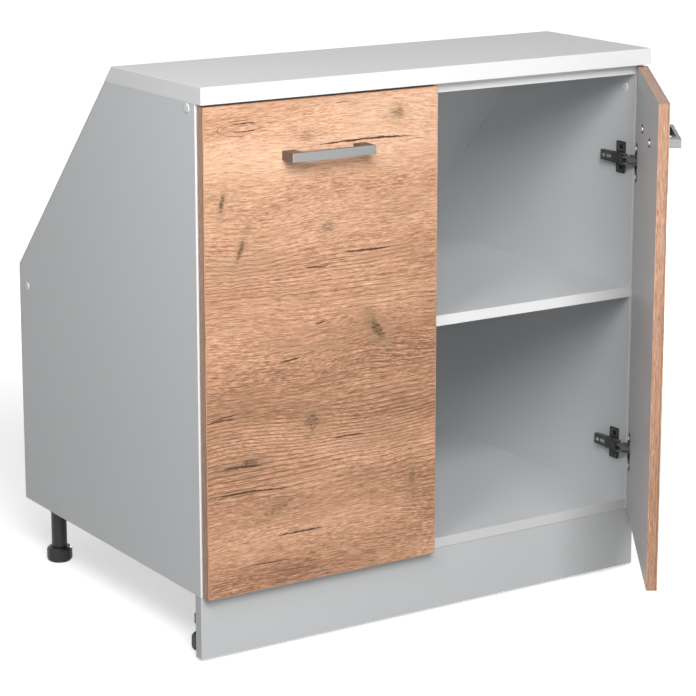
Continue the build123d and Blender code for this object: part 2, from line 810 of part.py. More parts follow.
plate_screw_recess = 4.2
plate_screw = countersunk_screw(plate_screw_head, plate_screw_radius, plate_screw_length, plate_screw_recess)
plate_screw_places = [
    (behind(point, direction, wing_recess), direction)
    for name in sides
    for point, direction in plate_screws[name]
]
hinge_plate_screws = group(plate_screw, plate_screw_places)
hinge_plate_screws.part.label = "hinge_plate_screws"
export_step(hinge_plate_screws.part, "parts/hinge_plate_screws.step")

# Hinge arms: a channel over the saddle, and in front of it a nose with the two link pins
arm_start = 9.0
arm_wall_bottom = 4.5
arm_wall_end = (2.0, 4.0)
arm_wall_front = (3.0, 6.0)
arm_pin_fit = 0.02
nose_outline = (
    (arm_outer - arm_sheet, 16.0),
    (arm_outer, 16.0),
    (arm_outer, 10.0),
    (19.6, 6.2),
    (20.9, 3.4),
    (20.7, 1.1),
    (15.2, -4.4),
    (12.6, -4.2),
    (11.4, -2.6),
    (11.6, 0.6),
    (8.6, 8.6),
    (8.6, 10.0),
)
nose_web_outline = (
    (arm_outer - arm_sheet, arm_start + 1.0),
    (arm_outer, arm_start + 1.4),
    (19.6, 6.2),
    (19.0, 5.0),
    (11.2, 8.9),
)
for name, side in sides.items():
    with BuildPart() as arms:
        for height in hinge_heights:
            middle = Plane.XY.offset(height)
            with BuildSketch(middle.offset(-arm_half_height)):
                with BuildLine():
                    Polyline(
                        hinge_point(side, arm_outer - arm_sheet, arm_start),
                        hinge_point(side, arm_outer, arm_start),
                        hinge_point(side, arm_outer, arm_end),
                        hinge_point(side, arm_outer - arm_sheet, arm_end),
                        close=True,
                    )
                make_face()
            extrude(amount=2 * arm_half_height)
            for level in (-arm_half_height, arm_half_height - arm_sheet):
                with BuildSketch(middle.offset(level)):
                    with BuildLine():
                        Polyline(
                            hinge_point(side, arm_outer, arm_start),
                            hinge_point(side, arm_outer, arm_end),
                            hinge_point(side, arm_wall_bottom + arm_wall_end[0], arm_end),
                            hinge_point(side, arm_wall_bottom, arm_end - arm_wall_end[1]),
                            hinge_point(side, arm_wall_bottom, arm_start + arm_wall_front[1]),
                            hinge_point(side, arm_wall_bottom + arm_wall_front[0], arm_start),
                            close=True,
                        )
                    make_face()
                extrude(amount=arm_sheet)
            for level in (-nose_outside, nose_inside):
                with BuildSketch(middle.offset(level)):
                    with BuildLine():
                        Polyline(*[hinge_point(side, *point) for point in nose_outline], close=True)
                    make_face()
                extrude(amount=nose_outside - nose_inside)
            with BuildSketch(middle.offset(-nose_outside)):
                with BuildLine():
                    Polyline(*[hinge_point(side, *point) for point in nose_web_outline], close=True)
                make_face()
            extrude(amount=2 * nose_outside)
            for pivot in (inner_link_pivot, outer_link_pivot):
                with Locations((*hinge_point(side, *pivot), height)):
                    Cylinder(pin_radius + arm_pin_fit, 4 * arm_half_height, mode=Mode.SUBTRACT)
            for v in adjusting_screw_vs:
                point = (*hinge_point(side, arm_outer, v), height)
                drill(point, (-side, 0, 0), adjusting_screw_radius + fit, 2 * arm_sheet)
    arms.part.label = f"{name}_hinge_arms"
    export_step(arms.part, f"parts/{name}_hinge_arms.step")

# Adjusting screws of the arms, two on each
adjusting_screw_head = 3.2
adjusting_screw_head_height = 1.2
adjusting_screw_length = 9.0
adjusting_screw_recess = 3.6
adjusting_screw = pan_screw(
    adjusting_screw_head,
    adjusting_screw_head_height,
    adjusting_screw_radius,
    adjusting_screw_length,
    adjusting_screw_recess,
)
adjusting_places = [
    ((*hinge_point(side, arm_outer, v), height), (-side, 0, 0))
    for side in sides.values()
    for height in hinge_heights
    for v in adjusting_screw_vs
]
hinge_adjusting_screws = group(adjusting_screw, adjusting_places)
hinge_adjusting_screws.part.label = "hinge_adjusting_screws"
export_step(hinge_adjusting_screws.part, "parts/hinge_adjusting_screws.step")

# Smooth covers clipped over the arms where they cross the plates
cover_thickness = 0.8
cover_corner = 0.7
cover_lip_inset = 1.0
cover_lip_depth = 3.0
with BuildPart() as hinge_arm_covers:
    for side in sides.values():
        for height in hinge_heights:
            point = (*hinge_point(side, arm_outer, plate_setback), height)
            plane = Plane(origin=point, x_dir=(0, 1, 0), z_dir=(-side, 0, 0))
            with BuildSketch(plane):
                RectangleRounded(plate_width, 2 * (arm_half_height + cover_thickness), cover_corner)
            extrude(amount=cover_thickness)
            for end in (-1, 1):
                with BuildSketch(plane):
                    with Locations((0, end * (arm_half_height + (cover_thickness + play) / 2))):
                        Rectangle(plate_width - 2 * cover_lip_inset, cover_thickness - play)
                extrude(amount=-cover_lip_depth)
hinge_arm_covers.part.label = "hinge_arm_covers"
export_step(hinge_arm_covers.part, "parts/hinge_arm_covers.step")

# Link pins fixed in the noses of the arms
pin_head = 0.3
for name, side in sides.items():
    with BuildPart() as arm_pins:
        for height in hinge_heights:
            with Locations((*hinge_point(side, *inner_link_pivot), height)):
                Cylinder(pin_radius, 2 * nose_outside)
            with Locations((*hinge_point(side, *outer_link_pivot), height)):
                Cylinder(pin_radius, 2 * (outer_link_outside + pin_head))
    arm_pins.part.label = f"{name}_hinge_arm_pins"
    export_step(arm_pins.part, f"parts/{name}_hinge_arm_pins.step")

# Inner and outer links, pinned to the arms and reaching into the cups
running_fit = 0.08
link_eye_rim = 0.2


def link_profile(side, pivot, path, width):
    """Flat link of constant width along a bent path, with round ends and a hole for its pin."""
    points = [closed_offset(side, pivot, point) for point in path]
    with BuildSketch() as profile:
        with BuildLine():
            Polyline(*points)
        trace(line_width=width)
        with Locations(points[0], points[-1]):
            Circle(width / 2 + link_eye_rim)
        Circle(pin_radius + running_fit, mode=Mode.SUBTRACT)
    return profile.sketch


for name, side in sides.items():
    plane = turned_plane(side, inner_link_pivot, -inner_link_ratio * open_angles[name])
    profile = link_profile(side, inner_link_pivot, inner_link_path, inner_link_width)
    with BuildPart() as inner_links:
        for height in hinge_heights:
            with BuildSketch(plane.offset(height - inner_link_half_height)):
                add(profile)
            extrude(amount=2 * inner_link_half_height)
    inner_links.part.label = f"{name}_inner_hinge_links"
    export_step(inner_links.part, f"parts/{name}_inner_hinge_links.step")

    plane = turned_plane(side, outer_link_pivot, -outer_link_ratio * open_angles[name])
    profile = link_profile(side, outer_link_pivot, outer_link_path, outer_link_width)
    with BuildPart() as outer_links:
        for height in hinge_heights:
            for level in (-outer_link_outside, outer_link_inside):
                with BuildSketch(plane.offset(height + level)):
                    add(profile)
                extrude(amount=outer_link_outside - outer_link_inside)
    outer_links.part.label = f"{name}_outer_hinge_links"
    export_step(outer_links.part, f"parts/{name}_outer_hinge_links.step")

# Doors and what is fixed to them, drawn closed about the pivot line and turned to their rest pose
cup_mouth = cup_radius - cup_wall
ear_radius = (flange_height - flange_screw_spacing) / 2
cup_point = (cup_inset, -door_gap)
ear_point = (cup_inset + flange_screw_offset, -door_gap)
door_center_u = inner_x - door_center_x
cup_hole_spare = 0.4
cup_rim = 1.0
cup_screw_length = 13.0
cup_screw_radius = 1.75
cup_screw_head = 3.4
cup_screw_head_height = 1.4
cup_screw_recess = 3.4
cup_screw = pan_screw(
    cup_screw_head, cup_screw_head_height, cup_screw_radius, cup_screw_length, cup_screw_recess
)
handle_screw_length = 22.0
handle_screw_radius = 2.0
handle_screw_head = 4.0
handle_screw_head_height = 2.2
handle_screw_recess = 4.4
handle_screw = pan_screw(
    handle_screw_head,
    handle_screw_head_height,
    handle_screw_radius,
    handle_screw_length,
    handle_screw_recess,
)
for name, side in sides.items():
    hang = turned_plane(side, door_pivot, open_angles[name])
    inner_x_local, inner_y_local = closed_offset(side, door_pivot, (door_center_u, -door_gap))
    outer_y_local = inner_y_local - board
    middle_y_local = (inner_y_local + outer_y_local) / 2
    cup_x_local = closed_offset(side, door_pivot, cup_point)[0]
    ear_x_local = closed_offset(side, door_pivot, ear_point)[0]
    handle_screw_xs = [inner_x_local + way * handle_screw_spacing / 2 for way in (-1, 1)]
    # Faces of the closed door in the turned plane: the inner face looks along +Y, the outer along -Y
    inner_origin = hang.from_local_coords((0, inner_y_local, 0))
    inner_face = Plane(origin=inner_origin, x_dir=-hang.x_dir, z_dir=hang.y_dir)

    with BuildPart(hang) as door:
        with Locations((inner_x_local, middle_y_local, door_middle_z)):
            Box(door_width - 2 * door_band, board, door_height - 2 * door_band)
        for height in hinge_heights:
            with Locations(Location((cup_x_local, inner_y_local, height), (-90, 0, 0))):
                Hole(cup_radius + play, cup_depth + cup_hole_spare)
            for offset in (-flange_screw_spacing / 2, flange_screw_spacing / 2):
                with Locations(Location((ear_x_local, inner_y_local, height + offset), (-90, 0, 0))):
                    Hole(cup_screw_radius + fit, cup_screw_length)
        for x in handle_screw_xs:
            with Locations(Location((x, inner_y_local, handle_z), (-90, 0, 0))):
                Hole(handle_screw_radius + play, board + hole_spare)
    door.part.label = f"{name}_door"
    export_step(door.part, f"parts/{name}_door.step")

    with BuildPart(hang) as door_edge_band:
        with Locations((inner_x_local, middle_y_local, door_middle_z)):
            Box(door_width, board, door_height)
            Box(door_width - 2 * door_band, 2 * board, door_height - 2 * door_band, mode=Mode.SUBTRACT)
    door_edge_band.part.label = f"{name}_door_edge_band"
    export_step(door_edge_band.part, f"parts/{name}_door_edge_band.step")

    # Bow handle: a flat bar on two legs, cut from one profile
    with BuildPart() as handle:
        with BuildSketch(hang.offset(handle_z - handle_height / 2)):
            with Locations((inner_x_local, outer_y_local - handle_reach / 2)):
                Rectangle(handle_length, handle_reach)
            with BuildSketch(mode=Mode.SUBTRACT):
                with Locations((inner_x_local, outer_y_local - (handle_reach - handle_bar) / 2)):
                    Rectangle(handle_length - 2 * handle_leg, handle_reach - handle_bar)
                    fillet(vertices().group_by(Axis.Y)[0], handle_corner)
        extrude(amount=handle_height)
        for x in handle_screw_xs:
            with Locations(hang * Location((x, outer_y_local, handle_z), (-90, 0, 0))):
                Hole(handle_screw_radius + fit, handle_screw_length - board + hole_spare)
    handle.part.label = f"{name}_handle"
    export_step(handle.part, f"parts/{name}_handle.step")

    with BuildPart(hang) as handle_screws:
        for x in handle_screw_xs:
            with Locations(Location((x, inner_y_local, handle_z), (-90, 0, 0))):
                add(handle_screw.part)
    handle_screws.part.label = f"{name}_handle_screws"
    export_step(handle_screws.part, f"parts/{name}_handle_screws.step")

    # Hinge cups with their flanges on the door's inner face
    with BuildPart() as hinge_cups:
        for height in hinge_heights:
            cup_center = (-cup_x_local, height)
            with BuildSketch(inner_face):
                with Locations(cup_center):
                    Circle(cup_radius + cup_rim)
                for offset in (-flange_screw_spacing / 2, flange_screw_spacing / 2):
                    with Locations((-ear_x_local, height + offset)):
                        Circle(ear_radius)
                with Locations(((-cup_x_local - ear_x_local) / 2, height)):
                    Rectangle(flange_screw_offset + ear_radius, flange_screw_spacing)
            extrude(amount=flange_thickness)
            with BuildSketch(inner_face):
                with Locations(cup_center):
                    Circle(cup_radius)
            extrude(amount=-cup_depth)
            with BuildSketch(inner_face.offset(flange_thickness)):
                with Locations(cup_center):
                    Circle(cup_mouth)
            extrude(amount=-cup_depth - flange_thickness + cup_wall, mode=Mode.SUBTRACT)
            for offset in (-flange_screw_spacing / 2, flange_screw_spacing / 2):
                with Locations(inner_face * Location((-ear_x_local, height + offset, flange_thickness))):
                    Hole(cup_screw_radius + fit, 2 * flange_thickness)
    hinge_cups.part.label = f"{name}_hinge_cups"
    export_step(hinge_cups.part, f"parts/{name}_hinge_cups.step")

    with BuildPart() as hinge_cup_screws:
        for height in hinge_heights:
            for offset in (-flange_screw_spacing / 2, flange_screw_spacing / 2):
                with Locations(inner_face * Location((-ear_x_local, height + offset, flange_thickness))):
                    add(cup_screw.part)
    hinge_cup_screws.part.label = f"{name}_hinge_cup_screws"
    export_step(hinge_cup_screws.part, f"parts/{name}_hinge_cup_screws.step")
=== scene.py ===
"""Finishes, small fittings and studio of a sloped ceiling kitchen cabinet, laid out as an add-on."""

import json
import math

import bmesh
import bpy
from bpy.props import FloatProperty, FloatVectorProperty, IntProperty, PointerProperty
from mathutils import Matrix, Vector


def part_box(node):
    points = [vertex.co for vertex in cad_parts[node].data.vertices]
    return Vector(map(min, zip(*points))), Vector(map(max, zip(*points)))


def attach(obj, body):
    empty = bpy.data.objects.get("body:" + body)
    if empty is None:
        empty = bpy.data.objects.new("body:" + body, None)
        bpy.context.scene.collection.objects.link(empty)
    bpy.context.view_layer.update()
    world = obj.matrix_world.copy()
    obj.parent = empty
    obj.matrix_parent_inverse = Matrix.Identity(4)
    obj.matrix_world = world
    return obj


bl_info = {
    "name": "Sloped Ceiling Cabinet",
    "version": (1, 0, 0),
    "blender": (4, 5, 0),
    "location": "View3D > Sidebar > Cabinet",
    "description": "Materials, fittings and studio of a kitchen cabinet cut back along a roof slope",
    "category": "Object",
}

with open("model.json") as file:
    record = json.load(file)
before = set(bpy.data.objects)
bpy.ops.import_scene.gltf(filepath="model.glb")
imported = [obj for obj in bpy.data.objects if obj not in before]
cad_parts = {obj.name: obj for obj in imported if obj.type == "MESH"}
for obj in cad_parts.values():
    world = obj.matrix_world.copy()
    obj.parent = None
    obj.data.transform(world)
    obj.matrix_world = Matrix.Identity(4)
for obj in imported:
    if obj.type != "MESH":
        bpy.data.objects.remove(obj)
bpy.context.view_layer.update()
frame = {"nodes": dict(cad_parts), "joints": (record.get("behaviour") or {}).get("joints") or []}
nodes = frame["nodes"]

# Places on the cabinet, in metres, read from the frame
left_door_low, left_door_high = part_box("left_door")
door_middle_y = (left_door_low.y + left_door_high.y) / 2
door_thickness = left_door_high.y - left_door_low.y
handle_front_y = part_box("left_handle")[0].y
handle_top_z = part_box("left_handle")[1].z
side_inner_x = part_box("right_side_panel")[0].x
bottom_top_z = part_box("bottom_panel")[1].z
carcass_front_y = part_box("front_edge_bands")[0].y

# Names that the pieces of the cabinet share, and the heights of its hinges
SIDES = ("left", "right")
FEET = ("front_left", "front_right", "rear_left", "rear_right")
HINGE_HEIGHTS = (0.204, 0.670)
HINGES = [(side, height) for side in SIDES for height in HINGE_HEIGHTS]
ORIGIN = (0.0, 0.0, 0.0)
WHITE = (1.0, 1.0, 1.0)


def swing(side):
    """Pivot point and the turn, in radians, that closes a door from its rest pose."""
    for joint in frame["joints"]:
        if joint["name"] == f"{side}_door_hinge":
            turn = joint["axis"][2] * math.radians(joint["range_deg"][0])
            return Vector(joint["pos_m"]), turn
    raise ValueError(f"the frame has no hinge for the {side} door")


def hinge_spot(side, point, height):
    """Place of a point given in millimetres from the side panel's inner face and the carcass front."""
    inwards = side_inner_x - point[0] / 1000
    x = inwards if side == "right" else -inwards
    return Vector((x, carcass_front_y + point[1] / 1000, height))


def opened(side, place, pivot, share=1.0):
    """Rest place of a part that turns by a share of the door's opening, from its place when closed."""
    return pivot + Matrix.Rotation(-swing(side)[1] * share, 3, "Z") @ (place - pivot)


def door_spot(side, point, height):
    """Place on a door in its rest pose, from a hinge point in millimetres with the door closed."""
    return opened(side, hinge_spot(side, point, height), swing(side)[0])


# Shader helpers


def feed(tree, socket, value):
    """Links a node's output to a socket, or sets the socket to a plain value or an opaque colour."""
    if isinstance(value, bpy.types.NodeSocket):
        tree.links.new(value, socket)
    else:
        socket.default_value = (*value, 1.0) if socket.type == "RGBA" else value


def add(tree, kind, links=None, **settings):
    """Adds a shader node; links gives its inputs as values or as outputs of other nodes."""
    node = tree.nodes.new(kind)
    for key, value in settings.items():
        setattr(node, key, value)
    for socket, value in (links or {}).items():
        feed(tree, node.inputs[socket], value)
    return node


def calc(tree, operation, *values):
    """Result of a math node."""
    return add(tree, "ShaderNodeMath", dict(enumerate(values)), operation=operation).outputs[0]


def total(tree, first, *others):
    """Sum of values."""
    for value in others:
        first = calc(tree, "ADD", first, value)
    return first


def product(tree, first, *others):
    """Product of values."""
    for value in others:
        first = calc(tree, "MULTIPLY", first, value)
    return first


def vector_calc(tree, operation, first, second):
    """Vector result of a vector math node."""
    return add(tree, "ShaderNodeVectorMath", {0: first, 1: second}, operation=operation).outputs[0]


def length(tree, vector):
    """Length of a vector."""
    return add(tree, "ShaderNodeVectorMath", {0: vector}, operation="LENGTH").outputs["Value"]


def split(tree, vector):
    """The x, y and z of a vector."""
    return add(tree, "ShaderNodeSeparateXYZ", {0: vector}).outputs


def join(tree, x, y, z=0.0):
    """Vector from its x, y and z."""
    return add(tree, "ShaderNodeCombineXYZ", {0: x, 1: y, 2: z}).outputs[0]


def turn_about(tree, vector, centre, angle):
    """Vector turned about an upright line through a centre."""
    links = {"Vector": vector, "Center": centre, "Angle": angle}
    return add(tree, "ShaderNodeVectorRotate", links, rotation_type="Z_AXIS").outputs[0]


def blend(tree, amount, first, second):
    """Value between two values."""
    return add(tree, "ShaderNodeMix", {0: amount, 2: first, 3: second}).outputs[0]


def mix(tree, amount, first, second, kind="MIX"):
    """Colour between two colours."""
    links = {0: amount, 6: first, 7: second}
    return add(tree, "ShaderNodeMix", links, data_type="RGBA", blend_type=kind).outputs[2]


def shaded(tree, colour, level):
    """A colour times a level."""
    grey = add(tree, "ShaderNodeCombineColor", {0: level, 1: level, 2: level}).outputs[0]
    return mix(tree, 1.0, colour, grey, "MULTIPLY")


def ease(tree, value, start, end, low=0.0, high=1.0):
    """Smooth step from low to high while value goes from start to end."""
    links = {0: value, 1: start, 2: end, 3: low, 4: high}
    step = add(tree, "ShaderNodeMapRange", links, interpolation_type="SMOOTHSTEP", clamp=False)
    return step.outputs[0]


def noise(tree, point, waves, detail=2.0, roughness=0.5):
    """Noise value around 0.5, with its waves per metre along each axis or along all axes."""
    scale = waves if isinstance(waves, tuple) else (waves, waves, waves)
    stretched = vector_calc(tree, "MULTIPLY", point, scale)
    links = {"Vector": stretched, "Scale": 1.0, "Detail": detail, "Roughness": roughness}
    return add(tree, "ShaderNodeTexNoise", links).outputs[0]


def swell(tree, value, amount):
    """A noise value moved to run about zero, times an amount."""
    return product(tree, calc(tree, "SUBTRACT", value, 0.5), amount)


def ramp(tree, value, *stops):
    """Colour along a ramp of (place, colour) stops."""
    node = add(tree, "ShaderNodeValToRGB", {0: value})
    elements = node.color_ramp.elements
    while len(elements) < len(stops):
        elements.new(0.5)
    for element, (place, colour) in zip(elements, stops):
        element.position = place
        element.color = (*colour, 1.0)
    return node.outputs[0]


def spaced(values):
    """The same values, with spaces for the underscores in their labels."""
    return {label.replace("_", " "): value for label, value in values.items()}


def new_group(name, outputs, **inputs):
    """Empty shader group; gives its tree, its inputs, made from their default values, and its outputs."""
    tree = bpy.data.node_groups.new(name, "ShaderNodeTree")
    for label, default in spaced(inputs).items():
        if label == "Colour":
            socket = tree.interface.new_socket(label, in_out="INPUT", socket_type="NodeSocketColor")
            socket.default_value = (*default, 1.0)
        else:
            kind = "NodeSocketFloat" if isinstance(default, float) else "NodeSocketVector"
            socket = tree.interface.new_socket(label, in_out="INPUT", socket_type=kind)
            socket.default_value = default
    for label in outputs:
        kind = "NodeSocketColor" if label == "Colour" else "NodeSocketFloat"
        tree.interface.new_socket(label, in_out="OUTPUT", socket_type=kind)
    return tree, add(tree, "NodeGroupInput").outputs, add(tree, "NodeGroupOutput")


def use(tree, build, **links):
    """Outputs of a group, which has its function's name, is built once and then used again."""
    group = bpy.data.node_groups.get(build.__name__) or build(build.__name__)
    return add(tree, "ShaderNodeGroup", spaced(links), node_tree=group).outputs


def finish_group(tree, end, **results):
    """Links a group's results to its outputs."""
    for label, value in results.items():
        feed(tree, end.inputs[label], value)
    return tree


def empty_tree(owner):
    """Node tree of a material or a world, without any nodes."""
    owner.use_nodes = True
    owner.node_tree.nodes.clear()
    return owner.node_tree


def new_material(name, **constants):
    """Material with one Principled shader and its constants; gives the material, its tree and the shader."""
    material = bpy.data.materials.new(name)
    tree = empty_tree(material)
    shader = add(tree, "ShaderNodeBsdfPrincipled", spaced(constants))
    add(tree, "ShaderNodeOutputMaterial", {"Surface": shader.outputs[0]})
    return material, tree, shader


def connect(tree, shader, colour, roughness, height, depth, strength):
    """Feeds a colour, a roughness and a bump height to a shader; depth is in metres."""
    feed(tree, shader.inputs["Base Color"], colour)
    feed(tree, shader.inputs["Roughness"], roughness)
    bump = add(tree, "ShaderNodeBump", {"Height": height, "Distance": depth, "Strength": strength})
    feed(tree, shader.inputs["Normal"], bump.outputs[0])


def object_point(tree):
    """The point on the surface, in metres, in the cabinet's own frame."""
    return add(tree, "ShaderNodeTexCoord").outputs["Object"]


def closed_point(tree, side):
    """The point on a door as it lies with the door closed."""
    pivot, turn = swing(side)
    return turn_about(tree, object_point(tree), pivot, turn)


# Shader groups

SURFACE = ("Colour", "Roughness", "Height")


def wood_fibres(name):
    """Wood fibres: x runs along the grain and y across it, in metres."""
    outputs = ("Tone", "Rings", "Fibres", "Pores")
    tree, given, end = new_group(
        name, outputs, Point=ORIGIN, Wave=0.02, Rings_per_Metre=140.0, Seed=0.0
    )
    small_wave = 0.0045
    ring_rise = 5.0
    ring_end = 0.86
    fine_share = 0.75

    # The grain wanders in a broad and in a small wave
    parts = split(tree, given["Point"])
    flat = join(tree, parts[0], parts[1], given["Seed"])
    broad = product(tree, swell(tree, noise(tree, flat, (3.0, 6.0, 1.0), 1.5), 2.0), given["Wave"])
    small = swell(tree, noise(tree, flat, (9.0, 24.0, 3.0)), small_wave)
    across = total(tree, parts[1], total(tree, broad, small))
    point = join(tree, parts[0], across, given["Seed"])

    # A ring darkens slowly and ends sharply, and shows in some bands of the wood only
    tone = noise(tree, point, (1.8, 9.0, 2.0), 3.0, 0.55)
    drift = product(tree, noise(tree, point, (1.2, 10.0, 5.0), 1.0), 4.0)
    phase = calc(tree, "MULTIPLY_ADD", across, given["Rings per Metre"], drift)
    rise = calc(tree, "FRACT", phase)
    fall = ease(tree, rise, 1.0, ring_end)
    gate = ease(tree, noise(tree, point, (1.6, 7.0, 11.0), 1.0), 0.38, 0.60)
    rings = product(tree, calc(tree, "POWER", rise, ring_rise), fall, gate)

    # Long fibres of two widths, and short pores that come in patches
    coarse = noise(tree, point, (9.0, 280.0, 7.0), 2.0, 0.6)
    fine = noise(tree, point, (38.0, 640.0, 13.0), 2.0, 0.6)
    fibres = total(tree, product(tree, coarse, 1.0 - fine_share), product(tree, fine, fine_share))
    specks = noise(tree, point, (105.0, 620.0, 17.0), 2.0, 0.6)
    patch = ease(tree, noise(tree, point, (7.0, 20.0, 19.0), 1.0), 0.35, 0.65, 0.45, 1.05)
    pores = product(tree, swell(tree, specks, 1.0), patch)
    return finish_group(tree, end, Tone=tone, Rings=rings, Fibres=fibres, Pores=pores)


def wood_knot(name):
    """One knot: its dark heart, its darker surroundings, and how far it pushes the grain aside."""
    outputs = ("Heart", "Halo", "Push")
    size = (0.01, 0.01, 1.0)
    tree, given, end = new_group(
        name, outputs, Point=ORIGIN, Centre=ORIGIN, Size=size, Turn=0.0, Strength=1.0, Ragged=0.0
    )
    push_fall = -0.22
    push_share = -0.12
    turned = turn_about(tree, given["Point"], given["Centre"], given["Turn"])
    offset = vector_calc(tree, "SUBTRACT", turned, given["Centre"])
    reach = length(tree, vector_calc(tree, "DIVIDE", offset, given["Size"]))
    ragged = total(tree, reach, given["Ragged"])
    heart = product(tree, ease(tree, ragged, 1.2, 0.45), given["Strength"])
    halo = product(tree, ease(tree, ragged, 3.2, 0.4), given["Strength"])
    straight = vector_calc(tree, "SUBTRACT", given["Point"], given["Centre"])
    across = split(tree, straight)[1]
    near = calc(tree, "EXPONENT", product(tree, reach, reach, push_fall))
    push = product(tree, across, near, push_share)
    return finish_group(tree, end, Heart=heart, Halo=halo, Push=push)


def wood_crack(name):
    """One drying crack along the grain: a thin dark line that tapers to both ends."""
    shape = {"Half_Length": 0.03, "Slope": 0.0, "Bow": 0.0, "Width": 0.001, "Shiver": 0.0, "Rough": 1.0}
    tree, given, end = new_group(name, ("Line",), Point=ORIGIN, Centre=ORIGIN, **shape)
    soft_edge = 0.0007
    taper = 0.6
    offset = split(tree, vector_calc(tree, "SUBTRACT", given["Point"], given["Centre"]))
    along = calc(tree, "DIVIDE", offset[0], given["Half Length"])
    left = calc(tree, "MAXIMUM", 0.0, calc(tree, "SUBTRACT", 1.0, product(tree, along, along)))
    path = calc(tree, "MULTIPLY_ADD", offset[0], given["Slope"], product(tree, given["Bow"], left))
    away = total(tree, calc(tree, "SUBTRACT", offset[1], path), given["Shiver"])
    width = product(tree, calc(tree, "POWER", left, taper), given["Width"], given["Rough"])
    past = calc(tree, "SUBTRACT", calc(tree, "ABSOLUTE", away), width)
    return finish_group(tree, end, Line=ease(tree, past, 0.0, -soft_edge))


def pressed_laminate(name):
    """Printed board surface: a faint cloudiness and a fine pressed texture."""
    tree, given, end = new_group(name, SURFACE, Point=ORIGIN, Colour=WHITE, Cloud=0.03)
    cloud = swell(tree, noise(tree, given["Point"], 5.0, 3.0, 0.6), given["Cloud"])
    grit = noise(tree, given["Point"], 700.0, 3.0, 0.7)
    level = total(tree, 1.0, cloud, swell(tree, grit, product(tree, given["Cloud"], 1.2)))
    colour = shaded(tree, given["Colour"], level)
    roughness = total(tree, 0.42, swell(tree, grit, 0.12))
    return finish_group(tree, end, Colour=colour, Roughness=roughness, Height=grit)


def moulded_surface(name):
    """Cast or coated surface: a soft orange peel, with a roughness that wanders a little."""
    tree, given, end = new_group(name, SURFACE, Point=ORIGIN, Colour=WHITE, Roughness=0.4, Lift=0.3)
    peel = noise(tree, given["Point"], 1100.0, 2.0, 0.6)
    cloud = noise(tree, given["Point"], 60.0, 3.0, 0.6)
    level = total(tree, 1.0, product(tree, swell(tree, cloud, 2.0), given["Lift"]))
    colour = shaded(tree, given["Colour"], level)
    roughness = total(tree, given["Roughness"], swell(tree, cloud, 0.25))
    return finish_group(tree, end, Colour=colour, Roughness=roughness, Height=peel)


def brushed_metal(name):
    """Brushed metal: fine lines along x, in metres of the point that it is given."""
    tree, given, end = new_group(name, SURFACE, Point=ORIGIN, Colour=WHITE, Roughness=0.3)
    lines = noise(tree, given["Point"], (30.0, 2600.0, 2600.0), 2.0, 0.6)
    stain = noise(tree, given["Point"], (25.0, 60.0, 60.0))
    level = total(tree, 1.0, swell(tree, lines, 0.12), swell(tree, stain, 0.1))
    colour = shaded(tree, given["Colour"], level)
    roughness = total(tree, given["Roughness"], swell(tree, lines, 0.2))
    return finish_group(tree, end, Colour=colour, Roughness=roughness, Height=lines)


# Marks in the oak of a door, in millimetres from its lower left corner seen from the front:
# knots as (x, height, half width, half height, turn in degrees, strength)
OAK_KNOTS = (
    (324, 681, 12, 9, 0, 0.55),
    (28, 577, 4, 15, -12, 0.9),
    (58, 508, 4, 19, -20, 0.9),
    (289, 364, 8, 20, 38, 1.0),
    (204, 527, 11, 9, 0, 0.45),
    (176, 241, 13, 12, 20, 0.7),
    (70, 195, 16, 5, 0, 1.0),
    (40, 190, 30, 5, 0, 0.5),
    (115, 565, 6, 5, 0, 0.35),
    (352, 128, 7, 14, 0, 0.5),
    (168, 660, 12, 5, 0, 0.4),
    (240, 300, 9, 5, 0, 0.4),
    (115, 118, 26, 8, 20, 0.4),
    (262, 128, 5, 4, 0, 0.35),
)
# cracks as (x, height, half length, slope, bow, width)
OAK_CRACKS = (
    (270, 646, 88, -0.005, 2.5, 2.0),
    (68, 687, 26, -0.02, 1.0, 1.4),
    (70, 678, 24, 0.05, -1.5, 1.3),
    (108, 686, 16, 0.0, 0.0, 0.9),
    (230, 705, 16, 0.02, 0.0, 1.0),
    (271, 486, 44, -0.02, -1.5, 1.9),
    (184, 470, 22, -0.02, -1.0, 1.6),
    (190, 386, 10, 0.12, 0.0, 1.5),
    (138, 337, 20, 0.09, 0.0, 1.7),
    (239, 208, 30, -0.02, 1.0, 1.7),
    (58, 190, 34, -0.06, 0.0, 2.0),
    (24, 262, 30, 0.02, 1.5, 1.7),
    (32, 267, 30, 0.10, 1.0, 1.4),
    (62, 148, 80, -0.03, 3.0, 1.9),
    (160, 76, 48, -0.01, 0.0, 1.7),
    (98, 38, 44, -0.03, 0.0, 1.2),
    (139, 612, 18, -0.35, 0.0, 0.5),
    (178, 230, 5, 1.8, 0.0, 1.0),
    (172, 236, 6, -1.2, 0.0, 1.0),
    (187, 236, 6, 0.9, 0.0, 0.8),
    (352, 641, 30, 0.03, 0.0, 0.7),
    (372, 322, 24, 0.02, 0.0, 0.7),
    (300, 236, 60, 0.05, 1.0, 0.6),
    (330, 178, 40, 0.02, 0.0, 0.6),
    (150, 20, 30, 0.0, 0.0, 0.9),
)
# and the ring round the stub of a branch as (x, height, half width, half height)
OAK_LOOP = (62, 681, 40, 11)


